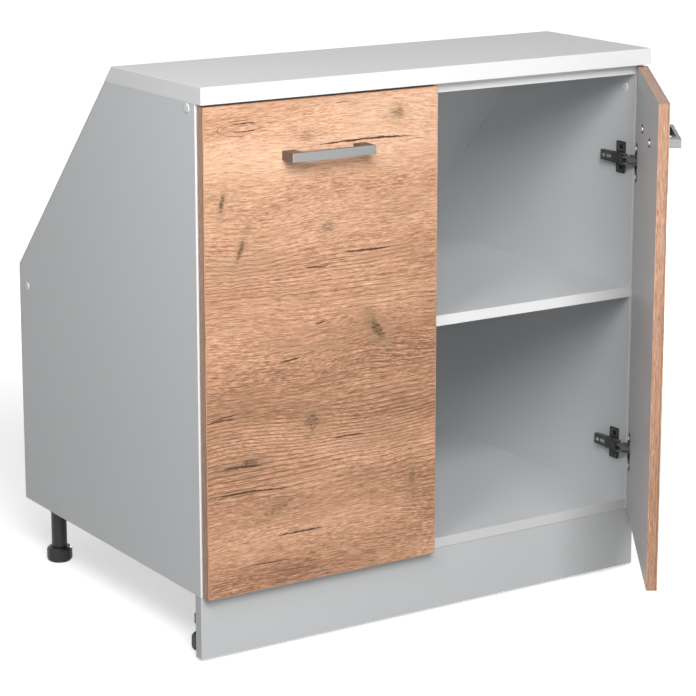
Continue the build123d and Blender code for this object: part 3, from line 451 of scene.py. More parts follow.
def oak_knots(tree, point):
    """Heart and halo of the strongest knot at a point, and how far all knots push the grain there."""
    ragged = swell(tree, noise(tree, point, (120.0, 260.0, 1.0), 2.0, 0.7), 1.8)
    heart = halo = push = 0.0
    for x, y, half_width, half_height, turn, strength in OAK_KNOTS:
        centre = (x / 1000, y / 1000, 0.0)
        size = (half_width / 1000, half_height / 1000, 1.0)
        angle = -math.radians(turn)
        spot = {"Point": point, "Centre": centre, "Size": size, "Turn": angle}
        knot = use(tree, wood_knot, **spot, Strength=strength, Ragged=ragged)
        heart = calc(tree, "MAXIMUM", heart, knot["Heart"])
        halo = calc(tree, "MAXIMUM", halo, knot["Halo"])
        push = total(tree, push, knot["Push"])
    return heart, halo, push


def oak_cracks(tree, point):
    """How much a point lies in a crack."""
    shiver = swell(tree, noise(tree, point, (60.0, 30.0, 1.0)), 0.0026)
    rough = ease(tree, noise(tree, point, (90.0, 50.0, 3.0), 2.0, 0.6), 0.3, 0.7, 0.65, 1.2)
    crack = 0.0
    for x, y, half_length, slope, bow, width in OAK_CRACKS:
        centre = (x / 1000, y / 1000, 0.0)
        run = {"Half_Length": half_length / 1000, "Slope": slope, "Bow": bow / 1000}
        edge = {"Width": width / 1000, "Shiver": shiver, "Rough": rough}
        line = use(tree, wood_crack, Point=point, Centre=centre, **run, **edge)
        crack = calc(tree, "MAXIMUM", crack, line["Line"])
    return crack


def oak_loop(tree, point, x_part):
    """How much a point lies on the ring round the branch, which is open on the right."""
    x, y, half_width, half_height = (value / 1000 for value in OAK_LOOP)
    offset = vector_calc(tree, "SUBTRACT", point, (x, y, 0.0))
    round_loop = vector_calc(tree, "DIVIDE", offset, (half_width, half_height, 1.0))
    reach = length(tree, round_loop)
    tip = split(tree, round_loop)[0]
    thin = calc(tree, "MULTIPLY_ADD", product(tree, tip, tip), 3.0, 1.0)
    rim = product(tree, calc(tree, "ABSOLUTE", calc(tree, "SUBTRACT", reach, 1.0)), thin)
    return product(tree, ease(tree, rim, 0.14, 0.02), ease(tree, x_part, x + 0.02, x - 0.01))


def oak_decor(name):
    """Golden oak decor of a door front: x to the right and y up from its lower left corner."""
    look = bpy.context.scene.cabinet_doors
    tree, given, end = new_group(name, SURFACE, Point=ORIGIN)
    point = given["Point"]
    heart, halo, push = oak_knots(tree, point)
    crack = oak_cracks(tree, point)
    parts = split(tree, point)
    pushed = join(tree, parts[0], total(tree, parts[1], push), parts[2])
    grain = use(tree, wood_fibres, Point=pushed, Wave=0.03, Rings_per_Metre=150.0, Seed=4.0)

    # Brighter, smoother wood in the upper part of the door and browner, ringed wood below
    rise = ease(tree, parts[1], 0.34, 0.55, -0.10, 0.10)
    ringed = ease(tree, parts[1], 0.55, 0.44, 0.6 * look.ring_contrast, 1.5 * look.ring_contrast)
    value = total(tree, 0.5, total(tree, rise, swell(tree, grain["Tone"], 1.15)))
    value = total(tree, value, swell(tree, grain["Fibres"], look.grain_contrast))
    value = calc(tree, "SUBTRACT", value, product(tree, grain["Rings"], ringed))
    value = calc(tree, "SUBTRACT", value, product(tree, grain["Pores"], look.speck_contrast))
    value = calc(tree, "SUBTRACT", value, product(tree, oak_loop(tree, point, parts[0]), 0.35))
    colour = ramp(
        tree,
        value,
        (0.0, (0.22, 0.11, 0.062)),
        (0.28, (0.41, 0.215, 0.125)),
        (0.5, (0.61, 0.335, 0.205)),
        (0.72, (0.76, 0.45, 0.29)),
        (1.0, (0.88, 0.60, 0.42)),
    )
    smoke = ease(tree, noise(tree, point, (5.0, 16.0, 3.0)), 0.52, 0.75, 0.0, 0.35)
    smoke = calc(tree, "MAXIMUM", smoke, product(tree, halo, 0.6))
    colour = mix(tree, smoke, colour, look.knot_colour)
    broken = ease(tree, grain["Pores"], -0.08, 0.08, 0.35, 1.0)
    colour = mix(tree, product(tree, heart, broken), colour, look.crack_colour)
    colour = mix(tree, crack, colour, look.crack_colour)
    roughness = total(tree, 0.5, swell(tree, grain["Fibres"], 0.3))
    height = calc(tree, "SUBTRACT", noise(tree, point, (30.0, 420.0, 1.0), 2.0, 0.6), crack)
    return finish_group(tree, end, Colour=colour, Roughness=roughness, Height=height)


# Materials


def laminate_material(name, colour, cloud=0.03):
    """Board with a printed, finely pressed surface."""
    material, tree, shader = new_material(name, Specular_IOR_Level=0.3)
    surface = use(tree, pressed_laminate, Point=object_point(tree), Colour=colour, Cloud=cloud)
    connect(tree, shader, *surface, depth=0.00008, strength=0.25)
    return material


def band_material(name, colour):
    """White edge band; the strip along the bottom panel is greyer with painted shade."""
    bottom_painted_shade = 0.25
    material, tree, shader = new_material(name, Specular_IOR_Level=0.3)
    point = object_point(tree)
    surface = use(tree, pressed_laminate, Point=point, Colour=colour, Cloud=0.015)
    parts = split(tree, point)
    # Painted shade: the band along the front edge of the bottom panel, between the sides, is made darker
    inside = calc(tree, "LESS_THAN", calc(tree, "ABSOLUTE", parts[0]), side_inner_x)
    low = product(tree, inside, calc(tree, "LESS_THAN", parts[2], bottom_top_z))
    colour = shaded(tree, surface["Colour"], calc(tree, "MULTIPLY_ADD", low, -bottom_painted_shade, 1.0))
    bump = {"depth": 0.00008, "strength": 0.25}
    connect(tree, shader, colour, surface["Roughness"], surface["Height"], **bump)
    return material


def moulded_material(name, colour, roughness, lift=0.3, metallic=0.0):
    """Moulded plastic or coated steel."""
    material, tree, shader = new_material(name, Metallic=metallic)
    point = object_point(tree)
    surface = use(tree, moulded_surface, Point=point, Colour=colour, Roughness=roughness, Lift=lift)
    connect(tree, shader, *surface, depth=0.00005, strength=0.3)
    return material


def brushed_material(name, colour, roughness):
    """Brushed metal with its lines along the cabinet's width."""
    material, tree, shader = new_material(name, Metallic=1.0)
    surface = use(tree, brushed_metal, Point=object_point(tree), Colour=colour, Roughness=roughness)
    connect(tree, shader, *surface, depth=0.00002, strength=0.3)
    return material


def handle_material(side):
    """Satin metal, brushed along the bar, with painted light: a painted highlight along the edges of its
    front face, painted shade on its other faces and a painted dark reflection on its top.
    """
    look = bpy.context.scene.cabinet_doors
    painted_highlight_gain = 0.4
    painted_side_shade = 0.55
    painted_top_darkening = 0.3
    top_margin = 0.0002
    material, tree, shader = new_material(f"{side}_satin_nickel", Metallic=1.0)
    closed = closed_point(tree, side)
    metal = {"Colour": look.handle_colour, "Roughness": look.handle_roughness}
    surface = use(tree, brushed_metal, Point=closed, **metal)
    parts = split(tree, closed)
    depth = calc(tree, "SUBTRACT", parts[1], handle_front_y)
    # Painted highlight along the rounded edges of the front face, and painted shade on the faces behind it
    edge = product(tree, ease(tree, depth, 0.0001, 0.0003), ease(tree, depth, 0.0010, 0.0006))
    face = ease(tree, depth, 0.0014, 0.0004, painted_side_shade, 1.0)
    level = calc(tree, "MULTIPLY_ADD", edge, painted_highlight_gain, face)
    # Painted dark reflection on the top faces behind the front face
    upper = calc(tree, "GREATER_THAN", parts[2], handle_top_z - top_margin)
    upper = product(tree, upper, ease(tree, depth, 0.0005, 0.0010, 0.0, -painted_top_darkening))
    colour = shaded(tree, surface["Colour"], calc(tree, "MULTIPLY_ADD", upper, level, level))
    bump = {"depth": 0.00002, "strength": 0.3}
    connect(tree, shader, colour, surface["Roughness"], surface["Height"], **bump)
    return material


def door_material(side):
    """Oak decor on a door's outer face and light grey laminate on its inner face."""
    boards = bpy.context.scene.cabinet_boards
    inner_bump = 0.15
    material, tree, shader = new_material(f"{side}_door_board", Specular_IOR_Level=0.3)
    closed = closed_point(tree, side)
    parts = split(tree, closed)
    if side == "left":
        across = calc(tree, "SUBTRACT", parts[0], left_door_low.x)
        up = calc(tree, "SUBTRACT", parts[2], left_door_low.z)
    else:
        across = calc(tree, "SUBTRACT", -left_door_low.x, parts[0])
        up = calc(tree, "SUBTRACT", left_door_high.z, parts[2])
    oak = use(tree, oak_decor, Point=join(tree, across, up))
    inner = use(tree, pressed_laminate, Point=closed, Colour=boards.laminate_colour, Cloud=0.03)
    outside = calc(tree, "LESS_THAN", parts[1], door_middle_y)
    colour = mix(tree, outside, inner["Colour"], oak["Colour"])
    roughness = blend(tree, outside, inner["Roughness"], oak["Roughness"])
    height = blend(tree, outside, product(tree, inner["Height"], inner_bump), oak["Height"])
    connect(tree, shader, colour, roughness, height, depth=0.0003, strength=0.5)
    return material


def door_band_material(side):
    """Oak edge band whose grain follows the edge: upright at the sides, level at the ends."""
    painted_arris_highlight_gain = 0.3
    joint_loss = 0.35
    material, tree, shader = new_material(f"{side}_door_band")
    parts = split(tree, closed_point(tree, side))
    above = calc(tree, "GREATER_THAN", parts[2], left_door_high.z)
    level = calc(tree, "MAXIMUM", above, calc(tree, "LESS_THAN", parts[2], left_door_low.z))
    upright = join(tree, parts[2], parts[1])
    flat = join(tree, parts[0], parts[1], 0.3)
    run = add(tree, "ShaderNodeMix", {0: level, 4: upright, 5: flat}, data_type="VECTOR").outputs[1]
    grain = use(tree, wood_fibres, Point=run, Wave=0.006, Rings_per_Metre=260.0, Seed=9.0)
    value = total(tree, 0.5, total(tree, swell(tree, grain["Tone"], 0.9), swell(tree, grain["Fibres"], 2.0)))
    value = calc(tree, "SUBTRACT", value, product(tree, grain["Rings"], 0.4))
    value = calc(tree, "SUBTRACT", value, product(tree, grain["Pores"], 1.4))

    # Painted highlights along the arrises at both faces of the door, and the dark joint behind its outer
    # face
    depth = calc(tree, "SUBTRACT", parts[1], left_door_low.y)
    outer_arris_highlight = ease(tree, depth, 0.0014, 0.0006)
    inner_arris_highlight = ease(tree, depth, door_thickness - 0.0012, door_thickness - 0.0004)
    joint = product(tree, ease(tree, depth, 0.0014, 0.0018), ease(tree, depth, 0.0034, 0.0028))
    value = calc(tree, "MULTIPLY_ADD", calc(tree, "MAXIMUM", outer_arris_highlight, inner_arris_highlight), painted_arris_highlight_gain, value)
    value = calc(tree, "MULTIPLY_ADD", joint, -joint_loss, value)
    colour = ramp(
        tree,
        value,
        (0.1, (0.24, 0.125, 0.07)),
        (0.5, (0.42, 0.225, 0.14)),
        (0.9, (0.60, 0.36, 0.235)),
    )
    roughness = total(tree, 0.45, swell(tree, grain["Fibres"], 0.3))
    connect(tree, shader, colour, roughness, grain["Fibres"], depth=0.0002, strength=0.4)
    return material


def plain_wood_material(name, colour):
    """Plain beech with a quiet grain."""
    material, tree, shader = new_material(name)
    parts = split(tree, object_point(tree))
    run = join(tree, parts[0], total(tree, parts[1], parts[2]))
    grain = use(tree, wood_fibres, Point=run, Wave=0.004, Rings_per_Metre=300.0, Seed=2.0)
    value = total(tree, 0.5, total(tree, swell(tree, grain["Tone"], 0.7), swell(tree, grain["Fibres"], 0.8)))
    darker = tuple(0.72 * part for part in colour)
    lighter = tuple(min(1.0, 1.2 * part) for part in colour)
    shade = ramp(tree, value, (0.1, darker), (0.5, colour), (0.9, lighter))
    connect(tree, shader, shade, 0.6, grain["Fibres"], depth=0.0001, strength=0.3)
    return material


# Mesh helpers


def dress(names, material, soften=0.0):
    """Gives nodes their material and, where soften is set, slightly rounded edges."""
    for name in names:
        piece = nodes[name]
        piece.data.materials.clear()
        piece.data.materials.append(material)
        if soften:
            weld = piece.modifiers.new("joined_faces", "WELD")
            weld.merge_threshold = 0.00001
            round_off = piece.modifiers.new("soft_edges", "BEVEL")
            round_off.width = soften
            round_off.segments = 2
            round_off.limit_method = "ANGLE"
            round_off.angle_limit = math.radians(40.0)
            round_off.use_clamp_overlap = False
            round_off.harden_normals = True


def make_object(name, mesh, material):
    """Turns a bmesh into an object of the scene."""
    data = bpy.data.meshes.new(name)
    mesh.to_mesh(data)
    mesh.free()
    data.materials.append(material)
    made = bpy.data.objects.new(name, data)
    bpy.context.scene.collection.objects.link(made)
    return made


def new_piece(name, mesh, material, body):
    """Turns a bmesh into a piece that rides on a body."""
    bmesh.ops.recalc_face_normals(mesh, faces=mesh.faces)
    piece = make_object(name, mesh, material)
    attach(piece, body)


def add_block(mesh, size, place, turn=0.0, radius=0.0002):
    """Adds a block with rounded edges, turned about the upright axis."""
    spot = Matrix.Translation(place) @ Matrix.Rotation(turn, 4, "Z") @ Matrix.Diagonal((*size, 1.0))
    made = bmesh.ops.create_cube(mesh, size=1.0, matrix=spot)
    edges = list({edge for vert in made["verts"] for edge in vert.link_edges})
    bmesh.ops.bevel(mesh, geom=edges, offset=radius, segments=2, profile=0.5, affect="EDGES", material=-1)


def add_strip(mesh, first, last, tall, thick, radius=0.0002):
    """Adds an upright strip between two places."""
    run = last - first
    size = (run.length + thick, thick, tall)
    add_block(mesh, size, (first + last) / 2, math.atan2(run.y, run.x), radius)


def add_ring(mesh, inner, outer, thick, place, axis, steps=32):
    """Adds a flat ring that rises from a place along an axis."""
    turned = Vector(axis).to_track_quat("Z", "Y").to_matrix().to_4x4()
    lift = Matrix.Translation(((inner + outer) / 2, 0.0, thick / 2))
    upright = Matrix.Rotation(math.radians(90.0), 4, "X")
    section = lift @ upright @ Matrix.Diagonal((outer - inner, thick, 1.0, 1.0))
    spot = Matrix.Translation(place) @ turned @ section
    made = bmesh.ops.create_grid(mesh, x_segments=1, y_segments=1, size=0.5, matrix=spot)
    face = made["verts"][0].link_faces[0]
    outline = list(face.verts) + list(face.edges)
    bmesh.ops.delete(mesh, geom=[face], context="FACES_ONLY")
    bmesh.ops.spin(mesh, geom=outline, cent=place, axis=axis, angle=math.tau, steps=steps, use_merge=True)


# Small fittings; hinge points are in millimetres from the side panel's inner face and the carcass front


def add_hinge_hoods(material):
    """Ribbed hoods over the noses of the hinge arms."""
    path = ((12.9, 17.4), (12.9, 11.2), (20.6, 7.3), (22.3, 3.6), (22.0, 0.6))
    hood_height = 0.016
    hood_wall = 0.0008
    rib_offsets = (-0.0056, -0.0019, 0.0019, 0.0056)
    rib_height = 0.0014
    rib_thickness = 0.0018
    rib_rounding = 0.0004
    mesh = bmesh.new()
    for side, height in HINGES:
        spots = [hinge_spot(side, point, height) for point in path]
        for first, last in zip(spots, spots[1:]):
            add_strip(mesh, first, last, hood_height, hood_wall)
            for offset in rib_offsets:
                lift = Vector((0.0, 0.0, offset))
                add_strip(mesh, first + lift, last + lift, rib_height, rib_thickness, rib_rounding)
    new_piece("hinge_arm_hoods", mesh, material, "carcass")


def add_wing_rims(material):
    """Raised rims round the two wings of each hinge plate."""
    rim_height = 0.0012
    rim_width = 0.0014
    rim_rounding = 0.0004
    wing_face_u = 3.2
    wing_middle_v = 28.0
    wing_middle_z = 0.0165
    wing_ends_v = (18.7, 37.3)
    wing_ends_z = (0.0089, 0.0241)
    upright_rim = (rim_height, rim_width, 0.0166)
    level_rim = (rim_height, 0.0178, rim_width)
    mesh = bmesh.new()
    for side, height in HINGES:
        for way in (-1, 1):
            for v in wing_ends_v:
                place = hinge_spot(side, (wing_face_u, v), height + way * wing_middle_z)
                add_block(mesh, upright_rim, place, radius=rim_rounding)
            for z in wing_ends_z:
                place = hinge_spot(side, (wing_face_u, wing_middle_v), height + way * z)
                add_block(mesh, level_rim, place, radius=rim_rounding)
    new_piece("hinge_wing_rims", mesh, material, "carcass")


def add_hinge_cams(material, steel):
    """Depth cams on the arm covers, and the pressed rims round the screws and along the covers."""
    cover_face_u = 12.0
    cam_v = 42.4
    cam_radii = (0.0003, 0.0029)
    cam_thickness = 0.0009
    slot_size = (0.0004, 0.0008, 0.0046)
    screw_rims = ((cam_v, 0.0031), (48.0, 0.0034), (58.0, 0.0034))
    screw_rim_width = 0.0006
    screw_rim_height = 0.0005
    cover_edges = (-0.0068, 0.0068)
    cover_ends = ((12.2, 39.4), (12.2, 65.6))
    cover_rim = (0.0009, 0.0010, 0.0003)
    discs = bmesh.new()
    rims = bmesh.new()
    for side, height in HINGES:
        outward = (-1.0 if side == "right" else 1.0, 0.0, 0.0)
        cam = hinge_spot(side, (cover_face_u, cam_v), height)
        add_ring(discs, *cam_radii, cam_thickness, cam, outward, steps=24)
        slot = hinge_spot(side, (cover_face_u + 1.0, cam_v), height)
        add_block(discs, slot_size, slot, radius=0.0001)
        for v, inner in screw_rims:
            place = hinge_spot(side, (cover_face_u, v), height)
            add_ring(rims, inner, inner + screw_rim_width, screw_rim_height, place, outward)
        for offset in cover_edges:
            first, last = (hinge_spot(side, point, height + offset) for point in cover_ends)
            add_strip(rims, first, last, *cover_rim)
    new_piece("hinge_cams", discs, steel, "carcass")
    new_piece("hinge_arm_rims", rims, material, "carcass")


def add_link_webs(side, material):
    """Back wings with raised rims, above and below the inner link, on each pair of outer link plates."""
    link_pivot = (18.0, 2.0)
    link_share = -0.42
    wing_ends = ((8.6, -0.3), (-0.9, -4.6))
    wing = (0.0063, 0.0045, 0.0008)
    rim = (0.0079, 0.0014, 0.0020)
    rounding = 0.0003
    mesh = bmesh.new()
    for height in HINGE_HEIGHTS:
        pivot = hinge_spot(side, link_pivot, height)
        first, last = (
            opened(side, hinge_spot(side, point, height), pivot, link_share) for point in wing_ends
        )
        for offset, tall, thick in (wing, rim):
            for way in (-1, 1):
                lift = Vector((0.0, 0.0, way * offset))
                add_strip(mesh, first + lift, last + lift, tall, thick, rounding)
    new_piece(f"{side}_link_webs", mesh, material, f"{side}_outer_links")


def add_cup_springs(side, material):
    """Spring boxes at the bottom of the hinge cups, each with two raised bars."""
    box_place = (14.0, -11.6)
    box_size = (0.010, 0.0032, 0.012)
    bar_place = (14.0, -9.9)
    bar_size = (0.0104, 0.0008, 0.0014)
    bar_offsets = (-0.0035, 0.0035)
    turn = -swing(side)[1]
    mesh = bmesh.new()
    for height in HINGE_HEIGHTS:
        add_block(mesh, box_size, door_spot(side, box_place, height), turn, radius=0.0006)
        for offset in bar_offsets:
            place = door_spot(side, bar_place, height + offset)
            add_block(mesh, bar_size, place, turn, radius=0.0003)
    new_piece(f"{side}_cup_springs", mesh, material, f"{side}_door_leaf")


def add_screw_rings(side, material):
    """Dark rings with two lips under the handle screws on a door's inner face: a dark piece put as painted
    shade round the screw heads.
    """
    screw_us = (120.0, 248.0)
    inner_face_v = -3.0
    ring_radii = (0.00415, 0.0062)
    ring_thickness = 0.0005
    lip_size = (0.0036, 0.0022, 0.0018)
    lip_offsets = (-0.0053, 0.0053)
    turn = -swing(side)[1]
    outward = Matrix.Rotation(turn, 3, "Z") @ Vector((0.0, 1.0, 0.0))
    low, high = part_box(f"{side}_handle_screws")
    mesh = bmesh.new()
    for u in screw_us:
        spot = door_spot(side, (u, inner_face_v), (low.z + high.z) / 2)
        add_ring(mesh, *ring_radii, ring_thickness, spot, outward)
        for offset in lip_offsets:
            lift = Vector((0.0, 0.0, offset))
            add_block(mesh, lip_size, spot + lip_size[1] / 2 * outward + lift, turn, radius=0.0005)
    new_piece(f"{side}_handle_screw_rings", mesh, material, f"{side}_door_leaf")


def add_foot_grips(foot, material, count):
    """Grip ribs between the notches of a foot."""
    notches = 8
    rib_gap = math.radians(8.0)
    rib_reach = 0.0199
    rib_z = 0.0125
    rib_size = (0.0012, 0.0014, 0.0155)
    low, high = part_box(f"{foot}_foot")
    middle = (low + high) / 2
    mesh = bmesh.new()
    for notch in range(notches):
        for rib in range(count):
            turn = math.tau * (notch + 0.5) / notches + (rib - (count - 1) / 2) * rib_gap
            x = middle.x + rib_reach * math.cos(turn)
            y = middle.y + rib_reach * math.sin(turn)
            add_block(mesh, rib_size, (x, y, rib_z), turn, radius=0.0004)
    new_piece(f"{foot}_foot_grips", mesh, material, f"{foot}_screw_foot")


# Studio

# Lamps as (name, place, width, the setting that holds its power)
LAMPS = (
    ("key_lamp", (-1.33, -3.25, 2.65), 1.5, "key_power"),
    ("fill_lamp", (-1.2, -3.6, 0.9), 1.4, "fill_power"),
    ("side_lamp", (-1.35, -1.15, 1.65), 0.5, "side_power"),
    ("back_lamp", (2.6, 2.2, 0.42), 0.8, "back_power"),
    ("top_lamp", (-1.2, -0.8, 3.0), 1.6, "top_power"),
)


def two_looks(tree, lighting, seen):
    """Shader that differs between light on surfaces and what is seen, also in a gloss or through glass."""
    path = add(tree, "ShaderNodeLightPath").outputs
    gloss = calc(tree, "MAXIMUM", path["Is Glossy Ray"], path["Is Transmission Ray"])
    directly = calc(tree, "MAXIMUM", path["Is Camera Ray"], gloss)
    return add(tree, "ShaderNodeMixShader", {0: directly, 1: lighting, 2: seen}).outputs[0]


def set_sky(scene, level):
    """White to the eye, and an even light on the cabinet."""
    scene.world = bpy.data.worlds.new("sky")
    tree = empty_tree(scene.world)
    light = add(tree, "ShaderNodeBackground", {"Color": WHITE, "Strength": level}).outputs[0]
    white = add(tree, "ShaderNodeBackground", {"Color": WHITE, "Strength": 1.0}).outputs[0]
    add(tree, "ShaderNodeOutputWorld", {"Surface": two_looks(tree, light, white)})


def lay_floor():
    """Wide pale floor that keeps the cabinet's shadow and turns white away from it."""
    half_width = 40.0
    dull_grey = (0.17, 0.17, 0.17)
    pale_grey = (0.85, 0.85, 0.85)
    shadow_reach = 0.8
    white_reach = 2.6
    material = bpy.data.materials.new("pale_floor")
    tree = empty_tree(material)
    dull = add(tree, "ShaderNodeBsdfDiffuse", {"Color": dull_grey}).outputs[0]
    lit = add(tree, "ShaderNodeBsdfDiffuse", {"Color": pale_grey}).outputs[0]
    away = length(tree, object_point(tree))
    strength = ease(tree, away, shadow_reach, white_reach, 0.55, 1.0)
    glow = add(tree, "ShaderNodeEmission", {"Color": WHITE, "Strength": strength}).outputs[0]
    white = add(tree, "ShaderNodeAddShader", {0: lit, 1: glow}).outputs[0]
    add(tree, "ShaderNodeOutputMaterial", {"Surface": two_looks(tree, dull, white)})
    mesh = bmesh.new()
    bmesh.ops.create_grid(mesh, x_segments=1, y_segments=1, size=half_width)
    floor = make_object("floor", mesh, material)


def hang_lamp(scene, name, place, width, power):
    """Square soft lamp that faces the middle of the cabinet."""
    target = Vector((0.0, -0.1, 0.45))
    lamp = bpy.data.lights.new(name, "AREA")
    lamp.size = width
    lamp.energy = power
    holder = bpy.data.objects.new(name, lamp)
    scene.collection.objects.link(holder)
    holder.location = place
    holder.rotation_euler = (Vector(place) - target).to_track_quat("Z", "Y").to_euler()


def set_camera(scene, look):
    """Camera at the front left, above the worktop."""
    camera = bpy.data.objects.new("camera", bpy.data.cameras.new("camera"))
    scene.collection.objects.link(camera)
    camera.location = look.camera_place
    camera.rotation_euler = (math.radians(90.0) - look.camera_tilt, 0.0, -look.camera_turn)
    camera.data.lens = look.lens
    camera.data.sensor_width = 36.0
    camera.data.shift_y = -0.1
    scene.camera = camera


# Settings that a user would change


def colour_setting(name, description, default):
    """Property that holds a colour."""
    return FloatVectorProperty(
        name=name, description=description, default=default, subtype="COLOR", size=3, min=0.0, max=1.0
    )


def number_setting(name, description, default, high, **kind):
    """Property that holds a number from 0 to a highest value, of a kind given by its subtype or unit."""
    return FloatProperty(name=name, description=description, default=default, min=0.0, max=high, **kind)


def angle_setting(name, description, degrees):
    """Property that holds an angle."""
    angle = math.radians(degrees)
    return FloatProperty(
        name=name, description=description, default=angle, subtype="ANGLE", unit="ROTATION"
    )


def power_setting(name, description, default):
    """Property that holds the power of a lamp."""
    return FloatProperty(name=name, description=description, default=default, unit="POWER", min=0.0)


class CabinetBoards(bpy.types.PropertyGroup):
    """Colours and edges of the boards."""

    laminate_colour: colour_setting("Laminate", "Colour of the light grey boards", (0.69, 0.705, 0.715))
    worktop_colour: colour_setting("Worktop", "Colour of the worktop's upper face", (0.69, 0.69, 0.705))
    plinth_colour: colour_setting("Plinth", "Colour of the plinth board", (0.55, 0.562, 0.57))
    band_colour: colour_setting("Edge Band", "Colour of the white edge bands", (0.85, 0.855, 0.86))
    hardboard_colour: colour_setting("Back Panels", "Colour of the thin back panels", (0.52, 0.53, 0.54))
    edge_softness: number_setting(
        "Edge Softness",
        "Width of the rounding along the boards' edges",
        0.0004,
        0.002,
        subtype="DISTANCE",
        unit="LENGTH",
    )


class CabinetDoors(bpy.types.PropertyGroup):
    """Look of the oak doors and their handles."""

    grain_contrast: number_setting("Grain Contrast", "How strongly single fibres show", 1.8, 4.0)
    speck_contrast: number_setting("Speck Contrast", "How strongly short pores show", 1.3, 3.0)
    ring_contrast: number_setting("Ring Contrast", "How dark the growth rings are", 0.6, 1.0)
    knot_colour: colour_setting("Knots", "Colour of the wood around the knots", (0.34, 0.22, 0.125))
    crack_colour: colour_setting("Cracks", "Colour of cracks and knot hearts", (0.09, 0.045, 0.024))
    handle_colour: colour_setting("Handles", "Colour of the satin handles", (0.33, 0.328, 0.332))
    handle_roughness: number_setting(
        "Handle Roughness", "How dull the handles are", 0.38, 1.0, subtype="FACTOR"
    )


class CabinetHardware(bpy.types.PropertyGroup):
    """Look of the hinges, feet and fasteners."""

    hinge_colour: colour_setting("Hinges", "Colour of the hinge covers and links", (0.075, 0.080, 0.074))
    plate_colour: colour_setting("Hinge Plates", "Colour of the plates and arms", (0.14, 0.15, 0.14))
    # The rim colour also colours the dark rings of painted shade round the handle screws
    rim_colour: colour_setting("Hinge Rims", "Colour of the rims and cups", (0.012, 0.013, 0.012))
    plastic_colour: colour_setting("Feet", "Colour of the plastic feet", (0.012, 0.012, 0.013))
    cap_colour: colour_setting("Caps", "Colour of the cover caps", (0.78, 0.79, 0.80))
    steel_colour: colour_setting("Screws", "Colour of the zinc-plated screws", (0.74, 0.74, 0.72))
    dowel_colour: colour_setting("Dowels", "Colour of the beech dowels", (0.62, 0.42, 0.24))
    grip_ribs: IntProperty(
        name="Grip Ribs", description="Ribs between two notches of a foot", default=3, min=0, max=6
    )


class CabinetStudio(bpy.types.PropertyGroup):
    """Camera, lamps and floor."""

    camera_place: FloatVectorProperty(
        name="Camera",
        description="Where the camera stands",
        subtype="TRANSLATION",
        unit="LENGTH",
        size=3,
        default=(-2.0859, -3.2913, 1.3325),
    )
    camera_turn: angle_setting("Turn", "How far the camera turns to the right", 32.867)
    camera_tilt: angle_setting("Tilt", "How far the camera looks down", 12.4615)
    lens: FloatProperty(
        name="Lens", description="Focal length in millimetres", default=129.55, min=20.0, max=300.0
    )
    world_level: number_setting("Sky", "Level of the even light", 0.16, 2.0)
    key_power: power_setting("Key", "Main lamp", 117.0)
    fill_power: power_setting("Fill", "Low lamp in front", 31.0)
    side_power: power_setting("Side", "Lamp on the left", 8.5)
    back_power: power_setting("Back", "Lamp behind on the right", 45.0)
    top_power: power_setting("Top", "Lamp above", 4.0)


# Operators


class CABINET_OT_boards(bpy.types.Operator):
    """Finish the sides, bottom, shelf, rails and plinth"""

    bl_idname = "cabinet.boards"
    bl_label = "Boards"

    def execute(self, context):
        look = context.scene.cabinet_boards
        material = laminate_material("grey_laminate_board", look.laminate_colour)
        names = [f"{side}_side_panel" for side in SIDES]
        names += ["bottom_panel", "shelf", "top_front_rail", "top_rear_rail"]
        dress(names, material)
        dress(["plinth"], laminate_material("plinth_board", look.plinth_colour), look.edge_softness)
        return {"FINISHED"}


class CABINET_OT_worktop(bpy.types.Operator):
    """Finish the worktop and the white edge bands"""

    bl_idname = "cabinet.worktop"
    bl_label = "Worktop and Bands"

    def execute(self, context):
        look = context.scene.cabinet_boards
        material = laminate_material("worktop_board", look.worktop_colour, cloud=0.04)
        band = band_material("white_band", look.band_colour)
        dress(["worktop"], material, look.edge_softness)
        dress(["front_edge_bands"], band)
        dress(["worktop_edge_bands"], band, look.edge_softness)
        return {"FINISHED"}


class CABINET_OT_back(bpy.types.Operator):
    """Finish the two thin back panels"""

    bl_idname = "cabinet.back"
    bl_label = "Back Panels"

    def execute(self, context):
        look = context.scene.cabinet_boards
        material = laminate_material("back_board", look.hardboard_colour, cloud=0.07)
        dress(["lower_back_panel", "sloped_back_panel"], material)
        return {"FINISHED"}


class CABINET_OT_doors(bpy.types.Operator):
    """Finish the oak doors and their edge bands"""

    bl_idname = "cabinet.doors"
    bl_label = "Doors"

    def execute(self, context):
        for side in SIDES:
            dress([f"{side}_door"], door_material(side))
            dress([f"{side}_door_edge_band"], door_band_material(side), soften=0.0003)
        return {"FINISHED"}


class CABINET_OT_handles(bpy.types.Operator):
    """Finish the bow handles"""

    bl_idname = "cabinet.handles"
    bl_label = "Handles"

    def execute(self, context):
        for side in SIDES:
            dress([f"{side}_handle"], handle_material(side), soften=0.0005)
        return {"FINISHED"}


